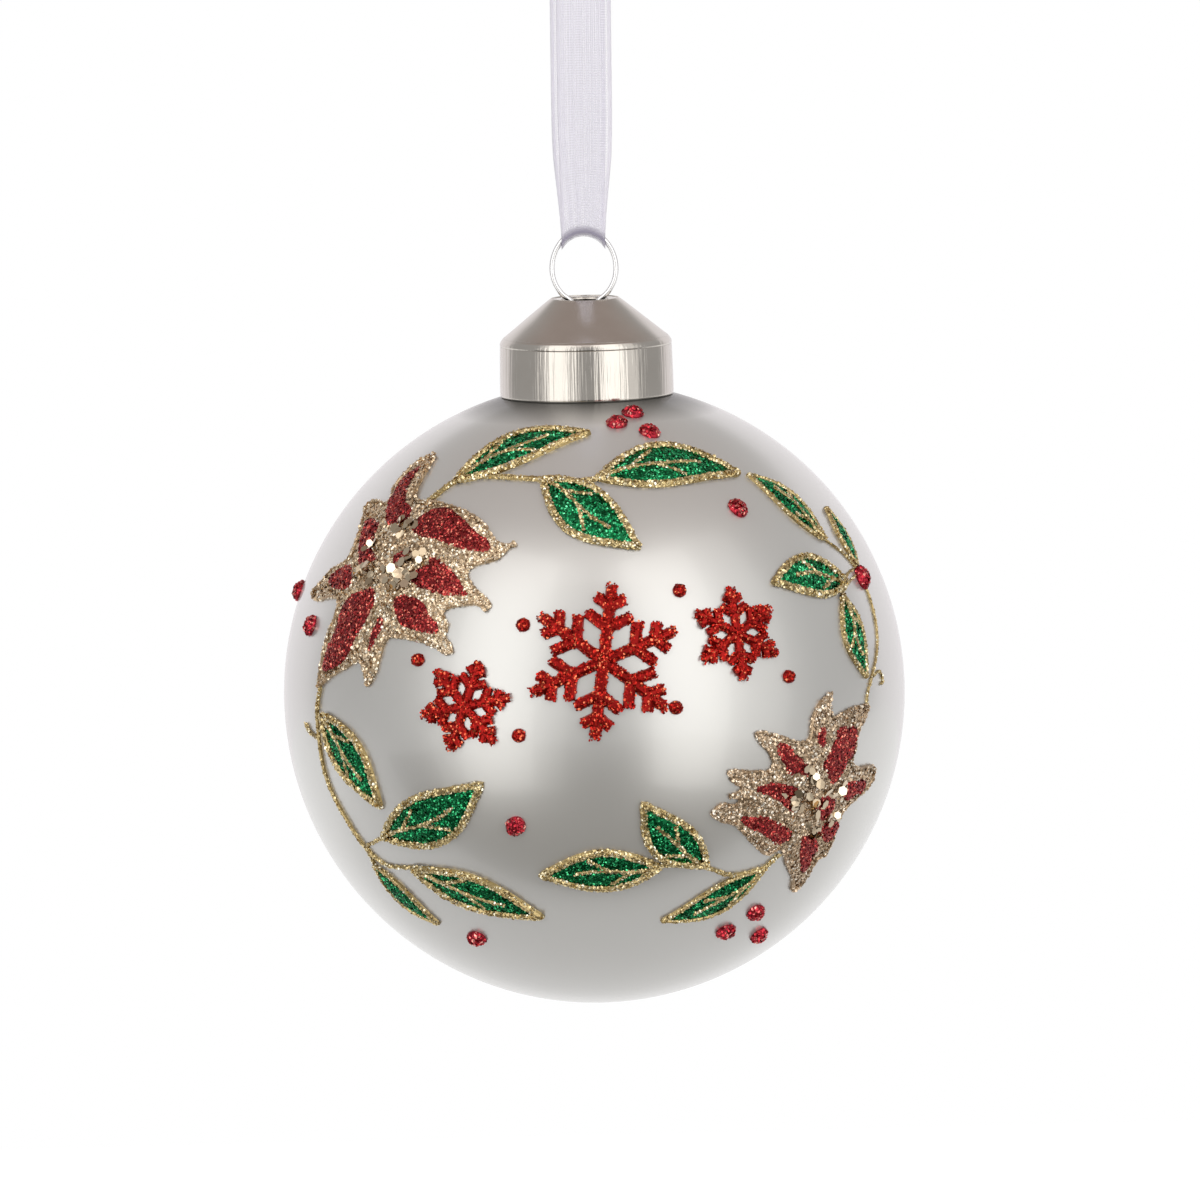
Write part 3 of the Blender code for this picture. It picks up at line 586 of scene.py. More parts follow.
LOWER_RIM = [
    (2, 13.5), (0.5, 13), (-0.5, 12.5), (-2, 10.5), (-2.5, 8), (-4.5, 8), (-7.5, 9), (-10, 9.5), (-11, 9),
    (-10, 7.5), (-8.5, 6), (-8.5, 4.5), (-11.5, 4.5), (-14.5, 4.5), (-14, 3), (-12.5, 2), (-14, 1),
    (-12.5, 0.5), (-13, 0), (-15, 0), (-16, -1.5), (-14.5, -2.5), (-12.5, -3), (-10.5, -4.5), (-8, -6.5),
    (-6, -7.5), (-4, -7), (-2, -9.5), (0, -11.5), (1.5, -14), (3, -13.5), (3.5, -11.5), (4, -9.5),
    (5.5, -9), (6, -6.5), (6, -4), (7, -2.5), (9.5, -1.5), (12, -0.5), (13, 1), (12, 2.5), (8, 3),
    (6.5, 4), (7, 5.5), (7.5, 7.5), (9, 9), (10, 10.5), (8.5, 11), (5.5, 11), (2, 10.5),
]
LOWER_RED = [
    [
        (3, 8.5), (4.5, 8.5), (6.5, 8), (6.5, 7), (6, 5), (5, 4.5), (4, 3), (3, 2), (2, 2), (1.5, 3),
        (0.5, 4.5), (1.5, 6), (2.5, 7.5),
    ],
    [(5.5, 1), (7.5, 1), (10, 0.5), (9.5, -0.5), (8, -0.5), (6.5, -1), (5.5, 0)],
    [(0, -0.5), (1.5, 0), (3, -0.5), (3.5, -1.5), (3, -2.5), (2.5, -3), (1, -2.5), (0.5, -1.5)],
    [(2.5, -4), (4, -4), (5.5, -4.5), (5.5, -5.5), (4.5, -6.5), (3, -5.5), (2.5, -5)],
    [
        (-1, -5.5), (0.5, -5.5), (2, -6.5), (2.5, -7.5), (2, -8.5), (2, -10), (1.5, -10.5), (0.5, -9),
        (-0.5, -7),
    ],
    [
        (-11.5, -2), (-10, -2), (-8.5, -2), (-7, -2.5), (-6, -3), (-4, -4), (-3.5, -5), (-5, -5.5),
        (-6, -5), (-8.5, -3.5), (-10, -3),
    ],
    [
        (-10, 2), (-8.5, 2.5), (-7.5, 2.5), (-5.5, 2), (-4, 1.5), (-4.5, 0.5), (-4, -1), (-5, -0.5),
        (-6.5, 0.5), (-8.5, 1.5),
    ],
    [
        (-7.5, 7.5), (-6, 7), (-5, 6), (-4, 5.5), (-2.5, 4), (-2.5, 3.5), (-4, 4), (-5.5, 4), (-6, 5),
        (-7, 6),
    ],
    [(-0.5, 9), (0, 9), (0, 7.5), (0, 7), (-0.5, 7), (-1, 8)],
]
# seats of the flakes in longitude and latitude, the first three also with a flake that stands proud
UPPER_FLAKES = [
    (-53.8, 32.7), (-37.6, 30.4), (-44.2, 28.5), (-47.7, 38.1), (-51.0, 27.0), (-40.9, 26.8),
    (-49.0, 35.5), (-41.0, 31.5), (-46.0, 27.0), (-53.0, 29.0), (-43.0, 25.5), (-39.5, 28.5),
    (-55.0, 26.5), (-45.0, 37.0), (-42.0, 29.0),
]
LOWER_FLAKES = [
    (43.2, -10.8), (51.2, -14.4), (51.3, -19.0), (45.0, -15.7), (44.5, -12.5), (48.0, -15.5),
    (39.5, -16.0), (47.0, -22.5), (50.0, -21.0), (37.5, -15.0), (45.5, -18.5), (42.0, -14.0),
]
champagne_tones = ((0.43, 0.305, 0.18), (1.0, 0.81, 0.575), (1.0, 0.965, 0.84))
champagne = glitter_material("champagne_glitter", *champagne_tones, 0.9)
# the lower flower's gold: a darker, browner copy of the champagne glitter, painted shade
shaded_champagne = glitter_material("shaded_champagne_glitter", (0.34, 0.235, 0.14), (0.88, 0.695, 0.50), (1.0, 0.95, 0.84), 0.9)
red = glitter_material("red_glitter", (0.17, 0.021, 0.025), (0.60, 0.060, 0.058), (1.0, 0.35, 0.25), 1.0)
flake_gold, tree, shader = blank_material("flake_gold")
foil = mixed(tree, marked(tree, "shade"), (0.42, 0.32, 0.21), (0.95, 0.82, 0.62))
feed(shader, base_color=foil, metallic=1.0, roughness=0.12)


def drawn_in(outline, depth):
    """Closed flat outline moved inward by a depth, each point square to the chord of its neighbours."""
    chord = unit(np.roll(outline, -1, axis=0) - np.roll(outline, 1, axis=0))
    ahead = np.roll(outline, -1, axis=0)
    turning = np.sign(np.sum(outline[:, 0] * ahead[:, 1] - ahead[:, 0] * outline[:, 1]))
    return outline + turning * depth * np.stack([-chord[:, 1], chord[:, 0]], axis=1)


def rightward(lon):
    """Level direction to the right along the glass at a longitude."""
    return np.array([np.cos(np.radians(lon)), np.sin(np.radians(lon)), 0.0])


# each flower: name, longitude and latitude, outline, red patches and their spill, flakes and gold
FLOWERS = [
    ("upper", -46.5, 30.5, UPPER_RIM, UPPER_RED, 0.0001, UPPER_FLAKES, champagne),
    ("lower", 45.5, -15.5, LOWER_RIM, LOWER_RED, 0.0003, LOWER_FLAKES, shaded_champagne),
]
for name, lon, lat, rim, patches, spill, flakes, pale in FLOWERS:
    out = spot(lon, lat)
    along = rightward(lon)
    rim = drawn_in(eased(np.array(rim) * 0.001, 6, True), BRIM_ROOM)
    patches = [drawn_in(eased(np.array(patch) * 0.001, 6, True), -spill) for patch in patches]
    bed = glitter_bed(out, along, rim, BED_RISE, 1.05 * GRAIN, FLOWER_GRAINS, luck, patches, 10)
    hem = chart(out, along, np.concatenate([rim, rim[:1]]))
    brim = glitter_bead(hem, BRIM_WIDTH, BED_RISE, GRAIN, BRIM_GRAINS, luck)
    flower = glitter_piece("poinsettia_gold_" + name, [bed, brim], pale)
    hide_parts("poinsettia_" + name)
    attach(flower, "ball")
    beds = []
    for patch in patches:
        shape = (out, along, patch, 0.3 * BED_RISE, FINE_GRAIN, FILL_GRAINS)
        beds.append(glitter_bed(*shape, luck, power=6, floor=0.9 * BED_RISE))
    bracts = glitter_piece("poinsettia_red_" + name, beds, red)
    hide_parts(*["red_bract_%s_%d" % (name, k) for k in range(1, RED_BRACTS + 1)])
    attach(bracts, "ball")
    seats = np.array(flakes)
    outward = spot(seats[:, 0], seats[:, 1])
    shown = outward[:PROUD_FLAKES]
    outward = np.repeat(outward, FLAKES_A_SEAT, axis=0)
    outward = unit(outward + luck.normal(0.0, FLAKE_SCATTER, outward.shape))
    lift = luck.uniform(0.0005, 0.0010, len(outward))
    loose = strew(on_glass(outward, lift), outward, FLAKE_RADIUS, FLAKE_TILT, FLAKE_PLUMP, luck)
    facing = np.broadcast_to(spot(np.sign(lon) * PROUD_LON, PROUD_LAT), shown.shape)
    proud = strew(on_glass(shown, PROUD_LIFT), facing, FLAKE_RADIUS, PROUD_TILT, FLAKE_PLUMP, luck)
    joined = (np.concatenate([loose[0], proud[0]]), np.concatenate([loose[1], proud[1] + len(loose[0])]))
    grains = (*joined, np.concatenate([0.7 * loose[2], np.ones(len(proud[0]))]))
    nothing = (np.zeros((0, 3)), np.zeros((0, 4), int))
    heart = new_piece("flakes_" + name, *nothing, flake_gold, False, {"shade": np.zeros(0)}, grains)
    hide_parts("flake_heart_" + name)
    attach(heart, "ball")

# Berries: single drops of glue on the glass, heaped with red glitter. Most lie loose beside the leaves, and
# one larger heap sits on the right stem.
BERRY_RADIUS = 0.0013
BERRY_RISE = 0.0009
BERRY_GRAINS = 30.0
STEM_BERRY = 5
cherry_tones = ((0.26, 0.016, 0.030), (0.80, 0.056, 0.078), (1.0, 0.52, 0.43))
cherry = glitter_material("cherry_glitter", *cherry_tones, 1.0)
# longitude and latitude of each berry
BERRIES = [
    (12.6, 65.0), (22.9, 68.4), (24.0, 61.4), (37.6, 40.3), (68.3, 22.9), (-15.6, -17.5), (-33.1, -44.3),
    (33.6, -44.2), (39.9, -39.8), (47.7, -47.1), (-90.6, 20.5), (-68.5, 16.2),
]
ring = np.radians(np.arange(0.0, 360.0, 15.0))
for number, (lon, lat) in enumerate(BERRIES, 1):
    out = spot(lon, lat)
    along = rightward(lon)
    heap = 1.15 if number == STEM_BERRY else 1.0
    reach = heap * BERRY_RADIUS * (1.0 + 0.08 * np.sin(2.0 * ring + number))
    rim = np.stack([reach * np.cos(ring), reach * np.sin(ring)], 1)
    drop = glitter_bed(out, along, rim, heap * BERRY_RISE, GRAIN, BERRY_GRAINS, luck, power=3)
    berry = glitter_piece("drop_%02d" % number, [drop], cherry)
    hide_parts("berry_%02d" % number)
    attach(berry, "ball")

# Snow crystals: three six-armed crystals and a few dots drawn in glue across the front between the flowers,
# strewn with red glitter.
scarlet_tones = ((0.24, 0.010, 0.010), (0.68, 0.030, 0.020), (1.0, 0.28, 0.13))
scarlet = glitter_material("scarlet_glitter", *scarlet_tones, 1.0)
GROUP_LON = 1.1
GROUP_LAT = 11.9
DOT_RADIUS = 0.9
DRAWN_GRAINS = 21.0
# each crystal: millimetres right of and above the group's middle, arm in millimetres, bead width in metres
# and turn in degrees
CRYSTALS = [(0.5, 0.5, 10.0, 0.0015, 22.0), (-17.5, -4.5, 6.2, 0.0012, 8.0), (18.0, 4.0, 6.2, 0.0012, 36.0)]
DOTS = [(-9.5, 5.5), (-10.5, -8.5), (10.5, 9.5), (9.5, -5.5), (-24.0, 2.0), (25.5, -1.5)]
# strokes of one arm: start and length as shares of the arm, and splay in degrees
STROKES = [(0.0, 1.0, 0.0), (0.42, 0.34, 58.0), (0.42, 0.34, -58.0), (0.70, 0.22, 58.0), (0.70, 0.22, -58.0)]
out = spot(GROUP_LON, GROUP_LAT)
along = rightward(GROUP_LON)
parts = []
for x, y, arm, width, turn in CRYSTALS:
    for k in range(6):
        a = np.radians(turn + 60.0 * k)
        way = np.array([np.cos(a), np.sin(a)])
        for begin, long, splay in STROKES:
            b = a + np.radians(splay)
            t = np.linspace(0.0, 1.0, 16)[:, None]
            branch = np.array([x, y]) + arm * (begin * way + t * long * np.array([np.cos(b), np.sin(b)]))
            stroke = chart(out, along, branch * 0.001)
            parts.append(glitter_bead(stroke, width, BEAD_RISE, FINE_GRAIN, DRAWN_GRAINS, luck))
for x, y in DOTS:
    rim = 0.001 * (np.array([x, y]) + DOT_RADIUS * np.stack([np.cos(ring), np.sin(ring)], 1))
    parts.append(glitter_bed(out, along, rim, BEAD_RISE, FINE_GRAIN, DRAWN_GRAINS, luck))
crystals = glitter_piece("snow_crystals", parts, scarlet)
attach(crystals, "ball")

# Cap: one disc of nickel-plated sheet pressed into an upright band, a low satin cone and a flat top with a
# round hole, with a shallow groove under the shoulder. The press leaves fine upright marks and a slightly
# uneven wall on the band, and soft dents on the cone.
CAP_RADIUS = 0.01115
CAP_SHEET = 0.0004
CAP_FLAT_RADIUS = 0.0045
CAP_TAPER = 0.0001
CAP_WALL = CAP_RADIUS - CAP_TAPER
CAP_HOLE = 0.0030
CAP_BAND = 0.0070
SHOULDER = 0.0005
CAP_SEGMENTS = 360
CAP_RIPPLE = 0.0016
CAP_RIM_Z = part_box("cap")[0][2]
CAP_TOP_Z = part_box("cap")[1][2]
CAP_SHOULDER_Z = CAP_RIM_Z + CAP_BAND
controls = np.array([
    (CAP_RADIUS - 0.5 * CAP_SHEET, CAP_RIM_Z), (CAP_RADIUS, CAP_RIM_Z + 0.5 * CAP_SHEET),
    (CAP_WALL, CAP_SHOULDER_Z - 2.6 * SHOULDER),
    (CAP_WALL - 0.14 * SHOULDER, CAP_SHOULDER_Z - 1.9 * SHOULDER),
    (CAP_WALL, CAP_SHOULDER_Z - 1.1 * SHOULDER),
    (CAP_WALL - 0.4 * SHOULDER, CAP_SHOULDER_Z - 0.25 * SHOULDER),
    (CAP_WALL - 1.05 * SHOULDER, CAP_SHOULDER_Z + 0.5 * SHOULDER),
    (CAP_RADIUS - 2.2 * SHOULDER, CAP_SHOULDER_Z + 1.25 * SHOULDER),
    (CAP_FLAT_RADIUS + 0.8 * SHOULDER, CAP_TOP_Z - 0.6 * SHOULDER),
    (CAP_FLAT_RADIUS - 0.6 * SHOULDER, CAP_TOP_Z),
    (CAP_HOLE + 0.3 * CAP_SHEET, CAP_TOP_Z), (CAP_HOLE, CAP_TOP_Z - 0.3 * CAP_SHEET),
    (CAP_HOLE, CAP_TOP_Z - CAP_SHEET), (CAP_FLAT_RADIUS - 0.6 * SHOULDER, CAP_TOP_Z - CAP_SHEET),
    (CAP_RADIUS - CAP_SHEET - 2.2 * SHOULDER, CAP_SHOULDER_Z + 0.3 * SHOULDER),
    (CAP_RADIUS - CAP_SHEET - CAP_TAPER, CAP_SHOULDER_Z - 1.2 * SHOULDER),
    (CAP_RADIUS - CAP_SHEET, CAP_RIM_Z + 0.2 * CAP_SHEET),
])
profile = eased(controls, 8, True)
profile = np.concatenate([profile, profile[:1]])
shell = turned(profile, CAP_SEGMENTS)
a = np.linspace(0.0, 2.0 * np.pi, CAP_SEGMENTS, endpoint=False)
press = np.random.default_rng(3)
wave = np.arange(5, 60)
strength = press.normal(0.0, 1.0, len(wave)) / wave**1.1
start = press.uniform(0.0, 6.3, (len(wave), 1))
ripple = np.sum(strength[:, None] * np.sin(wave[:, None] * a[None, :] + start), axis=0)
shell[..., :2] *= (1.0 + CAP_RIPPLE * ripple)[None, :, None]
nickel, tree, shader = blank_material("pressed_nickel")
draw = noise_on(tree, 1.0, 3.0, (2600.0, 2600.0, 45.0))
haze = noise_on(tree, 260.0, 3.0)
upright = ramp(tree, places(tree)["Z"], CAP_SHOULDER_Z, CAP_SHOULDER_Z - SHOULDER, 0.08, 1.0)
satin = ramp(tree, haze, 0.0, 1.0, 0.16, 0.30)
polish = ramp(tree, draw, 0.0, 1.0, 0.07, 0.19)
dents = ramp(tree, noise_on(tree, 170.0, 0.0), 0.0, 1.0, 0.0, 6.0)
scored = mixed(tree, upright, dents, draw, "FLOAT")
feed(shader, base_color=mixed(tree, haze, (0.56, 0.525, 0.48), (0.64, 0.605, 0.56)), metallic=1.0)
feed(shader, roughness=mixed(tree, upright, satin, polish, "FLOAT"), normal=bumped(tree, scored, 0.6, 0.0001))
cap = new_piece("pressed_cap", shell, grid_faces(len(profile), CAP_SEGMENTS), nickel)
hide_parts("cap")
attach(cap, "cap")

# Wire hanger: one length of bright spring wire bent to a round eye above the cap, its two ends led in
# through the hole and splayed inside the neck as spring legs.
WIRE_RADIUS = 0.00035
EYE_HALF_WIDTH = 0.0041
EYE_HALF_HEIGHT = 0.0049
WIRE_SPREAD = 0.0021
EYE_SIDES = 24
LEG_SIDES = 16
LEG_X = 0.001575
LEG_LENGTH = 0.020
WIRE_TOP_Z = -0.050
EYE_Z = WIRE_TOP_Z - EYE_HALF_HEIGHT
LEG_TOP_Z = -0.0601
LEG_SPLAY = np.radians(31.0)


def wire(path, sides):
    """Round wire along a path in the XZ plane: centre + radius * (cos p * across + sin p * Y), with the ends
    drawn in to a point so that they close."""
    run = unit(np.gradient(path, axis=0))
    across = np.stack([run[:, 1], np.zeros(len(run)), -run[:, 0]], axis=1)
    p = np.linspace(0.0, 2.0 * np.pi, sides, endpoint=False)
    fat = np.ones(len(path))
    fat[[0, -1]] = 0.0
    fat[[1, -2]] = 0.8
    level = np.array([0.0, 1.0, 0.0])
    ring = np.cos(p)[None, :, None] * across[:, None, :] + np.sin(p)[None, :, None] * level
    centre = np.stack([path[:, 0], np.zeros(len(path)), path[:, 1]], axis=1)
    return centre[:, None, :] + WIRE_RADIUS * fat[:, None, None] * ring


steel, tree, shader = blank_material("spring_wire")
drawn = noise_on(tree, 350.0, 1.0)
bright = mixed(tree, drawn, (0.90, 0.90, 0.915), (0.96, 0.96, 0.965))
feed(shader, base_color=bright, roughness=ramp(tree, drawn, 0.0, 1.0, 0.24, 0.30), metallic=1.0)
entry = np.arccos(WIRE_SPREAD / EYE_HALF_WIDTH)
low_half = (EYE_Z - CAP_TOP_Z) / np.sin(entry)
angle = np.linspace(-entry, np.pi + entry, 180)
tall = np.where(np.sin(angle) > 0.0, EYE_HALF_HEIGHT, low_half)
eye = np.stack([EYE_HALF_WIDTH * np.cos(angle), EYE_Z + tall * np.sin(angle)], axis=1)
under_z = CAP_TOP_Z - CAP_SHEET
tail = np.array([
    (LEG_X, under_z - 0.0007), (LEG_X, under_z - 0.0006), (LEG_X + 0.00002, under_z - 0.0002),
    (LEG_X + 0.00012, under_z),
])
path = np.concatenate([tail, eye, tail[::-1] * np.array([-1.0, 1.0])])
hanger = new_piece("wire_eye", wire(path, EYE_SIDES), grid_faces(len(path), EYE_SIDES), steel)
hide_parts("hanger_loop")
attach(hanger, "hanger")
tip = np.array([0.0, 0.00005])
reach = np.concatenate([tip, np.linspace(0.0002, LEG_LENGTH - 0.0002, 24), LEG_LENGTH - tip[::-1]])
for side, name in ((-1.0, "left"), (1.0, "right")):
    leg_x = side * (LEG_X + reach * np.sin(LEG_SPLAY))
    path = np.stack([leg_x, LEG_TOP_Z - reach * np.cos(LEG_SPLAY)], axis=1)
    leg = new_piece("wire_leg_" + name, wire(path, LEG_SIDES), grid_faces(len(path), LEG_SIDES), steel)
    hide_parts("spring_leg_" + name)
    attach(leg, name + "_leg")

# Ribbon loop: a strip of sheer organza with woven edges, folded under the top of the wire eye and gathered
# there, its two strands brought together in a knot above.
RIBBON_WIDTH = 0.0070
RIBBON_THICK = 0.00016
RIBBON_DROP = 0.050
RIBBON_SPREAD = 0.0035
RIBBON_GATHER = 0.8
FOLD_GAP = 0.0003
FOLD = WIRE_RADIUS + FOLD_GAP
KNOT_FOOT = 0.0009
# one strand from the fold up into the knot, as depth and height
strand = eased([
    (FOLD, WIRE_TOP_Z), (FOLD + 0.25 * (RIBBON_SPREAD - FOLD), WIRE_TOP_Z + 0.28 * RIBBON_DROP),
    (FOLD + 0.65 * (RIBBON_SPREAD - FOLD), WIRE_TOP_Z + 0.56 * RIBBON_DROP),
    (RIBBON_SPREAD, -0.19 * RIBBON_DROP), (0.85 * RIBBON_SPREAD, -0.085 * RIBBON_DROP),
    (0.5 * RIBBON_SPREAD, -0.018 * RIBBON_DROP),
    (0.22 * RIBBON_SPREAD, KNOT_FOOT), (0.14 * RIBBON_SPREAD, KNOT_FOOT + 0.0020),
], 16)
bend = np.radians(np.linspace(180.0, 360.0, 25))
under = np.stack([-FOLD * np.cos(bend), WIRE_TOP_Z + FOLD * np.sin(bend)], axis=1)
line = np.concatenate([strand[::-1], under[1:-1], strand * np.array([-1.0, 1.0])])
run = unit(np.gradient(line, axis=0))
flat = np.stack([run[:, 1], -run[:, 0]], axis=1)
along = np.concatenate([[0.0], np.cumsum(np.linalg.norm(np.diff(line, axis=0), axis=1))])
# gathered where it is folded, and pinched again towards the knot
height = np.clip(line[:, 1] - WIRE_TOP_Z, 0.0, None)
gather = 1.0 - (1.0 - RIBBON_GATHER) * np.exp(-((height / (0.16 * RIBBON_DROP)) ** 2))
pinch = np.clip((line[:, 1] + 0.006) / 0.008, 0.0, 1.0)
gather = gather * (1.0 - 0.4 * pinch**2 * (3.0 - 2.0 * pinch))
u = np.linspace(-1.0, 1.0, 29)
x = 0.5 * RIBBON_WIDTH * gather[:, None] * u[None, :]
# between fold and knot the strands are set a little apart sideways, and both lean to the right
apart = 0.0004 * np.clip(height / (0.2 * RIBBON_DROP), 0.0, 1.0) * np.clip(-line[:, 1] / 0.006, 0.0, 1.0)
side_lean = 0.0006 * np.clip(height / RIBBON_DROP, 0.0, 1.0) * np.clip(-line[:, 1] / 0.010, 0.0, 1.0)
# the fold follows the curve of the wire eye, which fades out up the strands
lean = np.clip(x / EYE_HALF_WIDTH, -0.9, 0.9)
arc = EYE_HALF_HEIGHT * (np.sqrt(1.0 - lean**2) - 1.0)
slope = EYE_HALF_HEIGHT / EYE_HALF_WIDTH * lean / np.sqrt(1.0 - lean**2)
fade = np.exp(-height / (0.1 * RIBBON_DROP))
thin = np.ones(len(line))
thin[[0, -1]] = 0.0
sides = []
for offset in (0.5, -0.5):
    y = line[:, 0] + offset * RIBBON_THICK * thin * flat[:, 0]
    z = line[:, 1] + offset * RIBBON_THICK * thin * flat[:, 1]
    low = np.minimum(z - WIRE_TOP_Z, 0.0)[:, None] * (np.sqrt(1.0 + slope**2) - 1.0)
    set_over = side_lean - apart * np.sign(line[:, 0])
    depth = np.broadcast_to(y[:, None], x.shape)
    sides.append(np.stack([x + set_over[:, None], depth, z[:, None] + fade[:, None] * arc + low], axis=2))
loop = np.concatenate([sides[0], sides[1][:, ::-1]], axis=1)
# the band over the wire is thicker and painted a dark shade, standing in for the shadowed wire seen through
# it
layers_and_shade = np.exp(-(((line[:, 1] - WIRE_TOP_Z) / 0.00045) ** 2))


def spread_marks(shape, **marks):
    """Marks for all points of a grid, each from values that stretch over the grid's shape."""
    return {mark: np.broadcast_to(values, shape).ravel() for mark, values in marks.items()}


def organza_material(name, thin_alpha, thick_alpha):
    """Sheer woven ribbon: alpha rises with each warp and weft thread, at the woven edges and where the ribbon
    lies doubled or tucked, and there its colour darkens to a painted shade.
    """
    made, tree, shader = blank_material(name)
    across, along, fold = (marked(tree, mark) for mark in ("across", "along", "fold"))
    warp = worked(tree, "SINE", worked(tree, "MULTIPLY", across, 82.0))
    weft = worked(tree, "SINE", worked(tree, "MULTIPLY", along, 19000.0))
    threads = worked(tree, "ADD", worked(tree, "MULTIPLY", warp, 0.07), worked(tree, "MULTIPLY", weft, 0.07))
    bands = new_node(tree, "ShaderNodeTexNoise", noise_dimensions="1D")
    feed(bands, w=worked(tree, "ADD", across, 3.0), scale=5.5, detail=2.0)
    edge = worked(tree, "GREATER_THAN", worked(tree, "ABSOLUTE", across), 0.87)
    alpha = worked(tree, "MULTIPLY", bands.outputs["Fac"], 0.35)
    alpha = worked(tree, "ADD", worked(tree, "ADD", alpha, thin_alpha - 0.175), threads)
    alpha = worked(tree, "MAXIMUM", alpha, worked(tree, "MULTIPLY", edge, thick_alpha))
    alpha = worked(tree, "MAXIMUM", alpha, worked(tree, "MULTIPLY", fold, 0.92))
    # painted shade: where the ribbon lies doubled or tucked its colour darkens to purple-grey
    shaded_cloth = mixed(tree, fold, (0.87, 0.855, 0.955), (0.33, 0.31, 0.41))
    feed(shader, base_color=shaded_cloth, alpha=alpha, normal=bumped(tree, threads, 0.25, 0.00005))
    feed(shader, roughness=0.55, sheen_weight=0.3)
    return made


width_marks = np.concatenate([u, u[::-1]])
marks = spread_marks(loop.shape[:2], across=width_marks, along=along[:, None], fold=layers_and_shade[:, None])
organza = organza_material("organza", 0.33, 0.62)
ribbon = new_piece("ribbon_strip", loop, grid_faces(len(line), loop.shape[1]), organza, True, marks)
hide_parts("ribbon_loop")

# Ribbon knot: the two strands of the same organza tied round each other in a tight overhand knot, pleated
# where it is pulled in, with two short cut tails.
KNOT_SIZE = np.array([0.0080, 0.0054, 0.0064])
KNOT_GAP = 0.0003
KNOT_Z = KNOT_FOOT + KNOT_GAP + 0.5 * KNOT_SIZE[2]
KNOT_GRID = (97, 128)
TAIL_LENGTH = 0.009
TAIL_GRID = (40, 17)
bulge = np.linspace(-0.5 * np.pi, 0.5 * np.pi, KNOT_GRID[0])[:, None]
turn = np.linspace(0.0, 2.0 * np.pi, KNOT_GRID[1], endpoint=False)[None, :]
askew = bulge - 0.45 * np.sin(turn)
over = 1.0 / (1.0 + np.exp((np.abs(askew) - 0.42) / 0.05))
pleats = 0.025 * over * np.sin(26.0 * askew) + 0.06 * (1.0 - over) * np.sin(11.0 * turn + 4.0 * bulge)
wrap = 0.88 + 0.14 * over + pleats * np.cos(bulge)
girth = wrap * np.cos(bulge)
lift = np.broadcast_to(np.sin(bulge), wrap.shape)
lump = np.stack([girth * np.sin(turn), -girth * np.cos(turn), lift], axis=-1)
lump[[0, -1], :, :2] = 0.0
lump = lump * 0.47 * KNOT_SIZE + np.array([0.0, 0.0, KNOT_Z])
# painted shade along the tucked edges of the wrap, and faintly over all of it, besides the thicker layers
# there
layers_and_shade = 0.08 + 0.55 * np.exp(-(((np.abs(askew) - 0.47) / 0.07) ** 2))
askew_marks = np.clip(1.6 * askew, -0.85, 0.85)
knot_marks = spread_marks(wrap.shape, across=askew_marks, along=turn * 0.004, fold=layers_and_shade)
knot_organza = organza_material("knot_organza", 0.80, 0.92)
knot = new_piece("ribbon_knot_wrap", lump, grid_faces(*KNOT_GRID), knot_organza, True, knot_marks)
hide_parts("ribbon_knot")
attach(knot, "ribbon")
for side, name in ((-1.0, "left"), (1.0, "right")):
    share = np.linspace(0.0, 1.0, TAIL_GRID[0])[:, None]
    spread = np.linspace(-1.0, 1.0, TAIL_GRID[1])[None, :]
    wide = 0.5 * RIBBON_WIDTH * (0.45 + 0.5 * share)
    tail_x = side * (0.1 + 0.3 * share) * KNOT_SIZE[0] + wide * spread
    curl = 0.0006 * np.sin(2.5 * spread + 4.0 * share) * share
    tail_y = side * (0.09 + 0.15 * share) * KNOT_SIZE[1] + curl
    tail_z = KNOT_Z + 0.2 * KNOT_SIZE[2] + (0.3 * KNOT_SIZE[2] + TAIL_LENGTH) * share
    tail_z = tail_z + 0.5 * (1.0 + spread * side) * 0.0012 * share
    front = np.stack([tail_x, tail_y - 0.5 * RIBBON_THICK, tail_z], axis=-1)
    rear = np.stack([tail_x, tail_y + 0.5 * RIBBON_THICK, tail_z], axis=-1)
    strip = np.concatenate([front, rear[:, ::-1]], axis=1)
    middle = 0.5 * (front + rear)
    both = np.concatenate([middle, middle[:, ::-1]], axis=1)
    strip[[0, -1]] = both[[0, -1]]
    width_marks = np.concatenate([spread, spread[:, ::-1]], axis=1)
    tail_marks = spread_marks(strip.shape[:2], across=width_marks, along=0.012 * share, fold=0.0)
    end = new_piece("ribbon_tail_" + name, strip, grid_faces(*strip.shape[:2]), organza, True, tail_marks)
    end.parent = knot
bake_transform(ribbon)
half_way = len(line) // 2
front_up = line[half_way:]
back_down = line[:half_way + 1]
route = np.concatenate([front_up, back_down])
path = np.stack([np.zeros(len(route)), route[:, 0], route[:, 1]], axis=1)

# Studio: a pale floor well below the hanging ball, with a grey card in front that the camera doesn't see and
# that casts no shadow. The tall boxes beside the camera are each a bright lamp before a wider, dimmer one,
# with a small box above, in a pale room that is white behind the ball.
FLOOR_Z = BALL_Z - 0.75
LAMP_COLOUR = (1.0, 0.985, 0.96)


def card(name, x, y, z, material):
    """Level sheet over a range of x and y."""
    corners = np.array([(x[0], y[0], z), (x[1], y[0], z), (x[1], y[1], z), (x[0], y[1], z)])
    mesh = bpy.data.meshes.new(name)
    mesh.from_pydata(corners.tolist(), [], [(0, 1, 2, 3)])
    mesh.materials.append(material)
    sheet = bpy.data.objects.new(name, mesh)
    bpy.context.scene.collection.objects.link(sheet)
    return sheet


white, tree, shader = blank_material("white_floor")
feed(shader, base_color=(0.72, 0.72, 0.71), roughness=0.9)
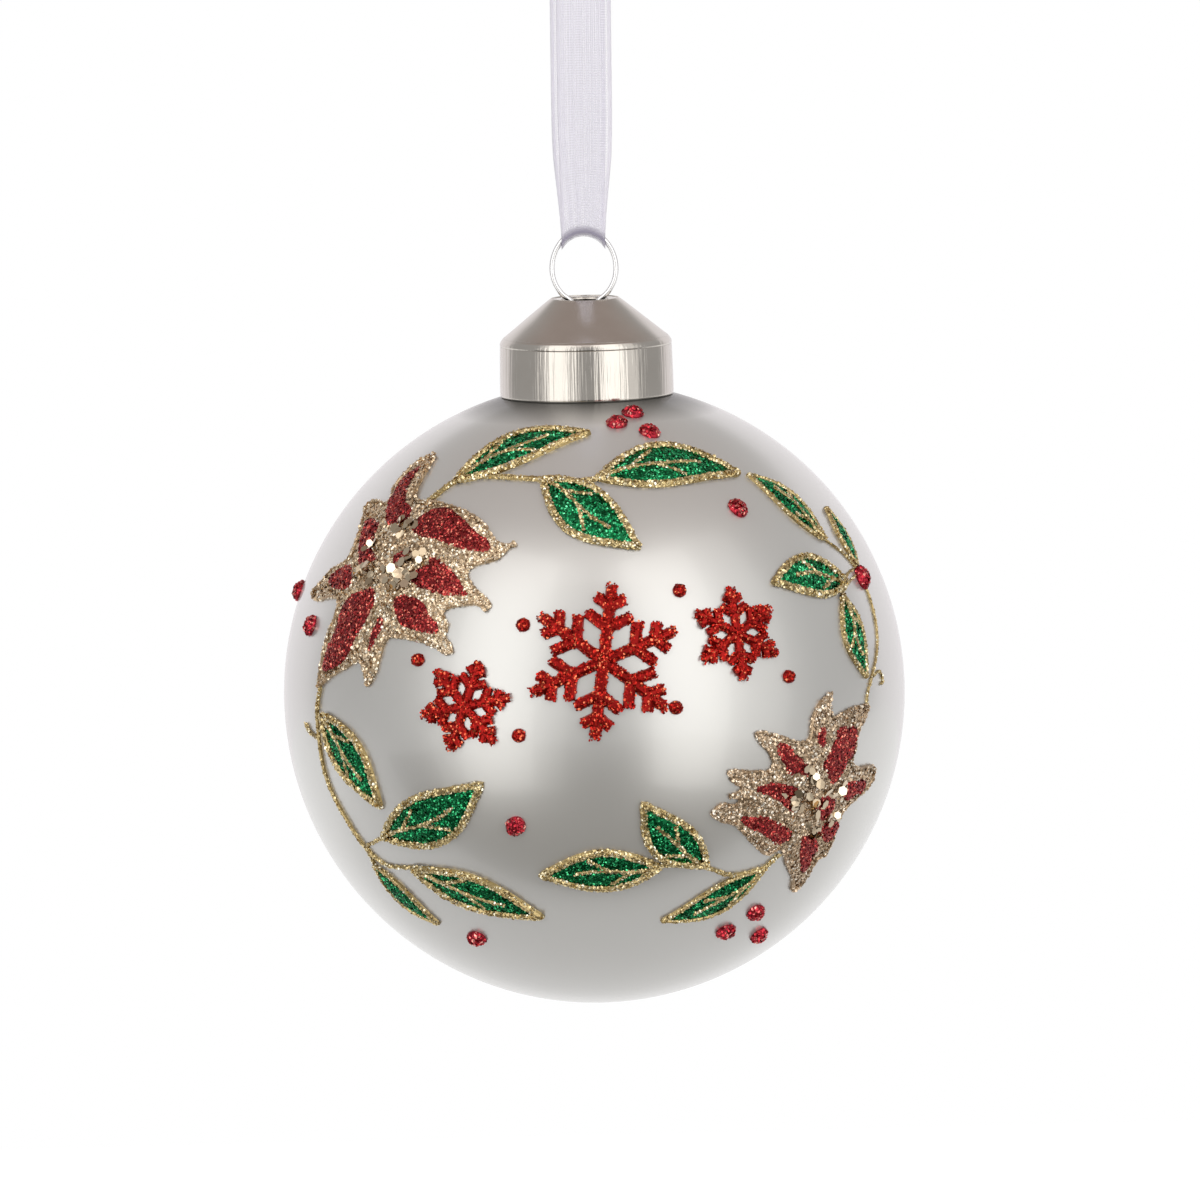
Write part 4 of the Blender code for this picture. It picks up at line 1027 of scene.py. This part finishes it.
# the camera and reflections see a quarter of the paint and a glow, weaker in reflections of the near floor;
# other rays meet the plain paint
seen = new_node(tree, "ShaderNodeLightPath").outputs
rear = ramp(tree, places(tree)["Y"], 0.0, 1.3, 0.55, 0.95)
glow = new_node(tree, "ShaderNodeEmission")
feed(glow, strength=ramp(tree, seen["Is Camera Ray"], 0.0, 1.0, rear, 0.97))
paint = shader.outputs["BSDF"]
faint = new_node(tree, "ShaderNodeMixShader", 0.75, paint)
both = new_node(tree, "ShaderNodeAddShader", faint.outputs["Shader"], glow.outputs["Emission"])
either = worked(tree, "MAXIMUM", seen["Is Camera Ray"], seen["Is Glossy Ray"])
pick = new_node(tree, "ShaderNodeMixShader", either, paint, both.outputs["Shader"])
feed(tree.nodes["Material Output"], surface=pick.outputs["Shader"])
card("floor", (-4.0, 4.0), (-4.0, 4.0), FLOOR_Z, white)
grey, tree, shader = blank_material("grey_card")
feed(shader, base_color=(0.165, 0.16, 0.14), roughness=0.9)
front_card = card("front_card", (-2.7, 2.7), (-3.6, -0.27), FLOOR_Z + 0.02, grey)
front_card.visible_camera = False
front_card.visible_shadow = False


def posed(axes, place):
    """World matrix whose columns are three axes and a place."""
    rows = [(*row, p) for row, p in zip(np.stack(axes, axis=1), place)]
    return Matrix(rows + [(0, 0, 0, 1)])


def soft_box(name, azimuth, elevation, away, wide, tall, bright):
    """Area lamp turned to the ball: its power is brightness * pi * area, so it shows as that brightness."""
    a = np.radians(azimuth)
    b = np.radians(elevation)
    way = np.array([np.sin(a) * np.cos(b), -np.cos(a) * np.cos(b), np.sin(b)])
    right = unit(np.cross(np.array([0.0, 0.0, 1.0]), way))
    up = np.cross(way, right)
    lamp = bpy.data.lights.new(name, "AREA")
    lamp.shape = "RECTANGLE"
    lamp.size = wide
    lamp.size_y = tall
    lamp.energy = bright * np.pi * wide * tall
    lamp.color = LAMP_COLOUR
    holder = bpy.data.objects.new(name, lamp)
    holder.matrix_world = posed([right, up, way], way * away + np.array([0.0, 0.0, BALL_Z]))
    holder.visible_camera = False
    bpy.context.scene.collection.objects.link(holder)


soft_box("soft_box_left", -37.0, 14.0, 1.0, 0.55, 1.78, 0.86)
soft_box("soft_box_left_edge", -37.0, 14.0, 1.02, 1.08, 1.95, 0.46)
soft_box("soft_box_right", 35.0, 14.0, 1.0, 0.55, 1.78, 0.88)
soft_box("soft_box_right_edge", 45.5, 14.0, 1.02, 1.22, 1.95, 0.52)
soft_box("soft_box_top", 0.0, 54.0, 1.0, 0.55, 0.24, 0.5)

world = bpy.data.worlds.new("pale_room")
bpy.context.scene.world = world
world.use_nodes = True
tree = world.node_tree
way = places(tree, "Generated")
above = ramp(tree, way["Z"], 0.45, 0.9, smooth=True)
walls = mixed(tree, above, (0.46, 0.455, 0.45), (0.435, 0.375, 0.352))
behind = ramp(tree, way["Y"], 0.45, 0.70, smooth=True)
low_down = ramp(tree, way["Z"], 0.55, 0.40, smooth=True)
room = mixed(tree, worked(tree, "MULTIPLY", behind, low_down), walls, (1.0, 0.965, 0.985))
seen = new_node(tree, "ShaderNodeLightPath").outputs
feed(tree.nodes["Background"], color=mixed(tree, seen["Is Camera Ray"], room, (1.0, 1.0, 1.0)))

# Camera: somewhat higher than the ornament and aimed a little down, far off with a long lens, rolled by
# about a degree.
CAMERA_AWAY = 1.2
CAMERA_ABOVE = 0.1497
AIM_RIGHT = np.radians(0.0486)
AIM_DOWN = np.radians(6.549)
ROLL = np.radians(-1.4)
lens = bpy.data.cameras.new("camera")
lens.lens = 281.37
lens.sensor_width = 36.0
lens.sensor_fit = "HORIZONTAL"
lens.clip_start = 0.01
lens.clip_end = 50.0
level = np.array([np.sin(AIM_RIGHT), np.cos(AIM_RIGHT), 0.0])
ahead = np.cos(AIM_DOWN) * level - np.array([0.0, 0.0, np.sin(AIM_DOWN)])
right = unit(np.cross(ahead, np.array([0.0, 0.0, 1.0])))
up = np.cross(right, ahead)
rolled_right = right * np.cos(ROLL) + up * np.sin(ROLL)
rolled_up = up * np.cos(ROLL) - right * np.sin(ROLL)
camera = bpy.data.objects.new("camera", lens)
camera.matrix_world = posed([rolled_right, rolled_up, -ahead], (0.0, -CAMERA_AWAY, BALL_Z + CAMERA_ABOVE))
bpy.context.scene.collection.objects.link(camera)
bpy.context.scene.camera = camera
bpy.context.scene.view_settings.view_transform = "Standard"
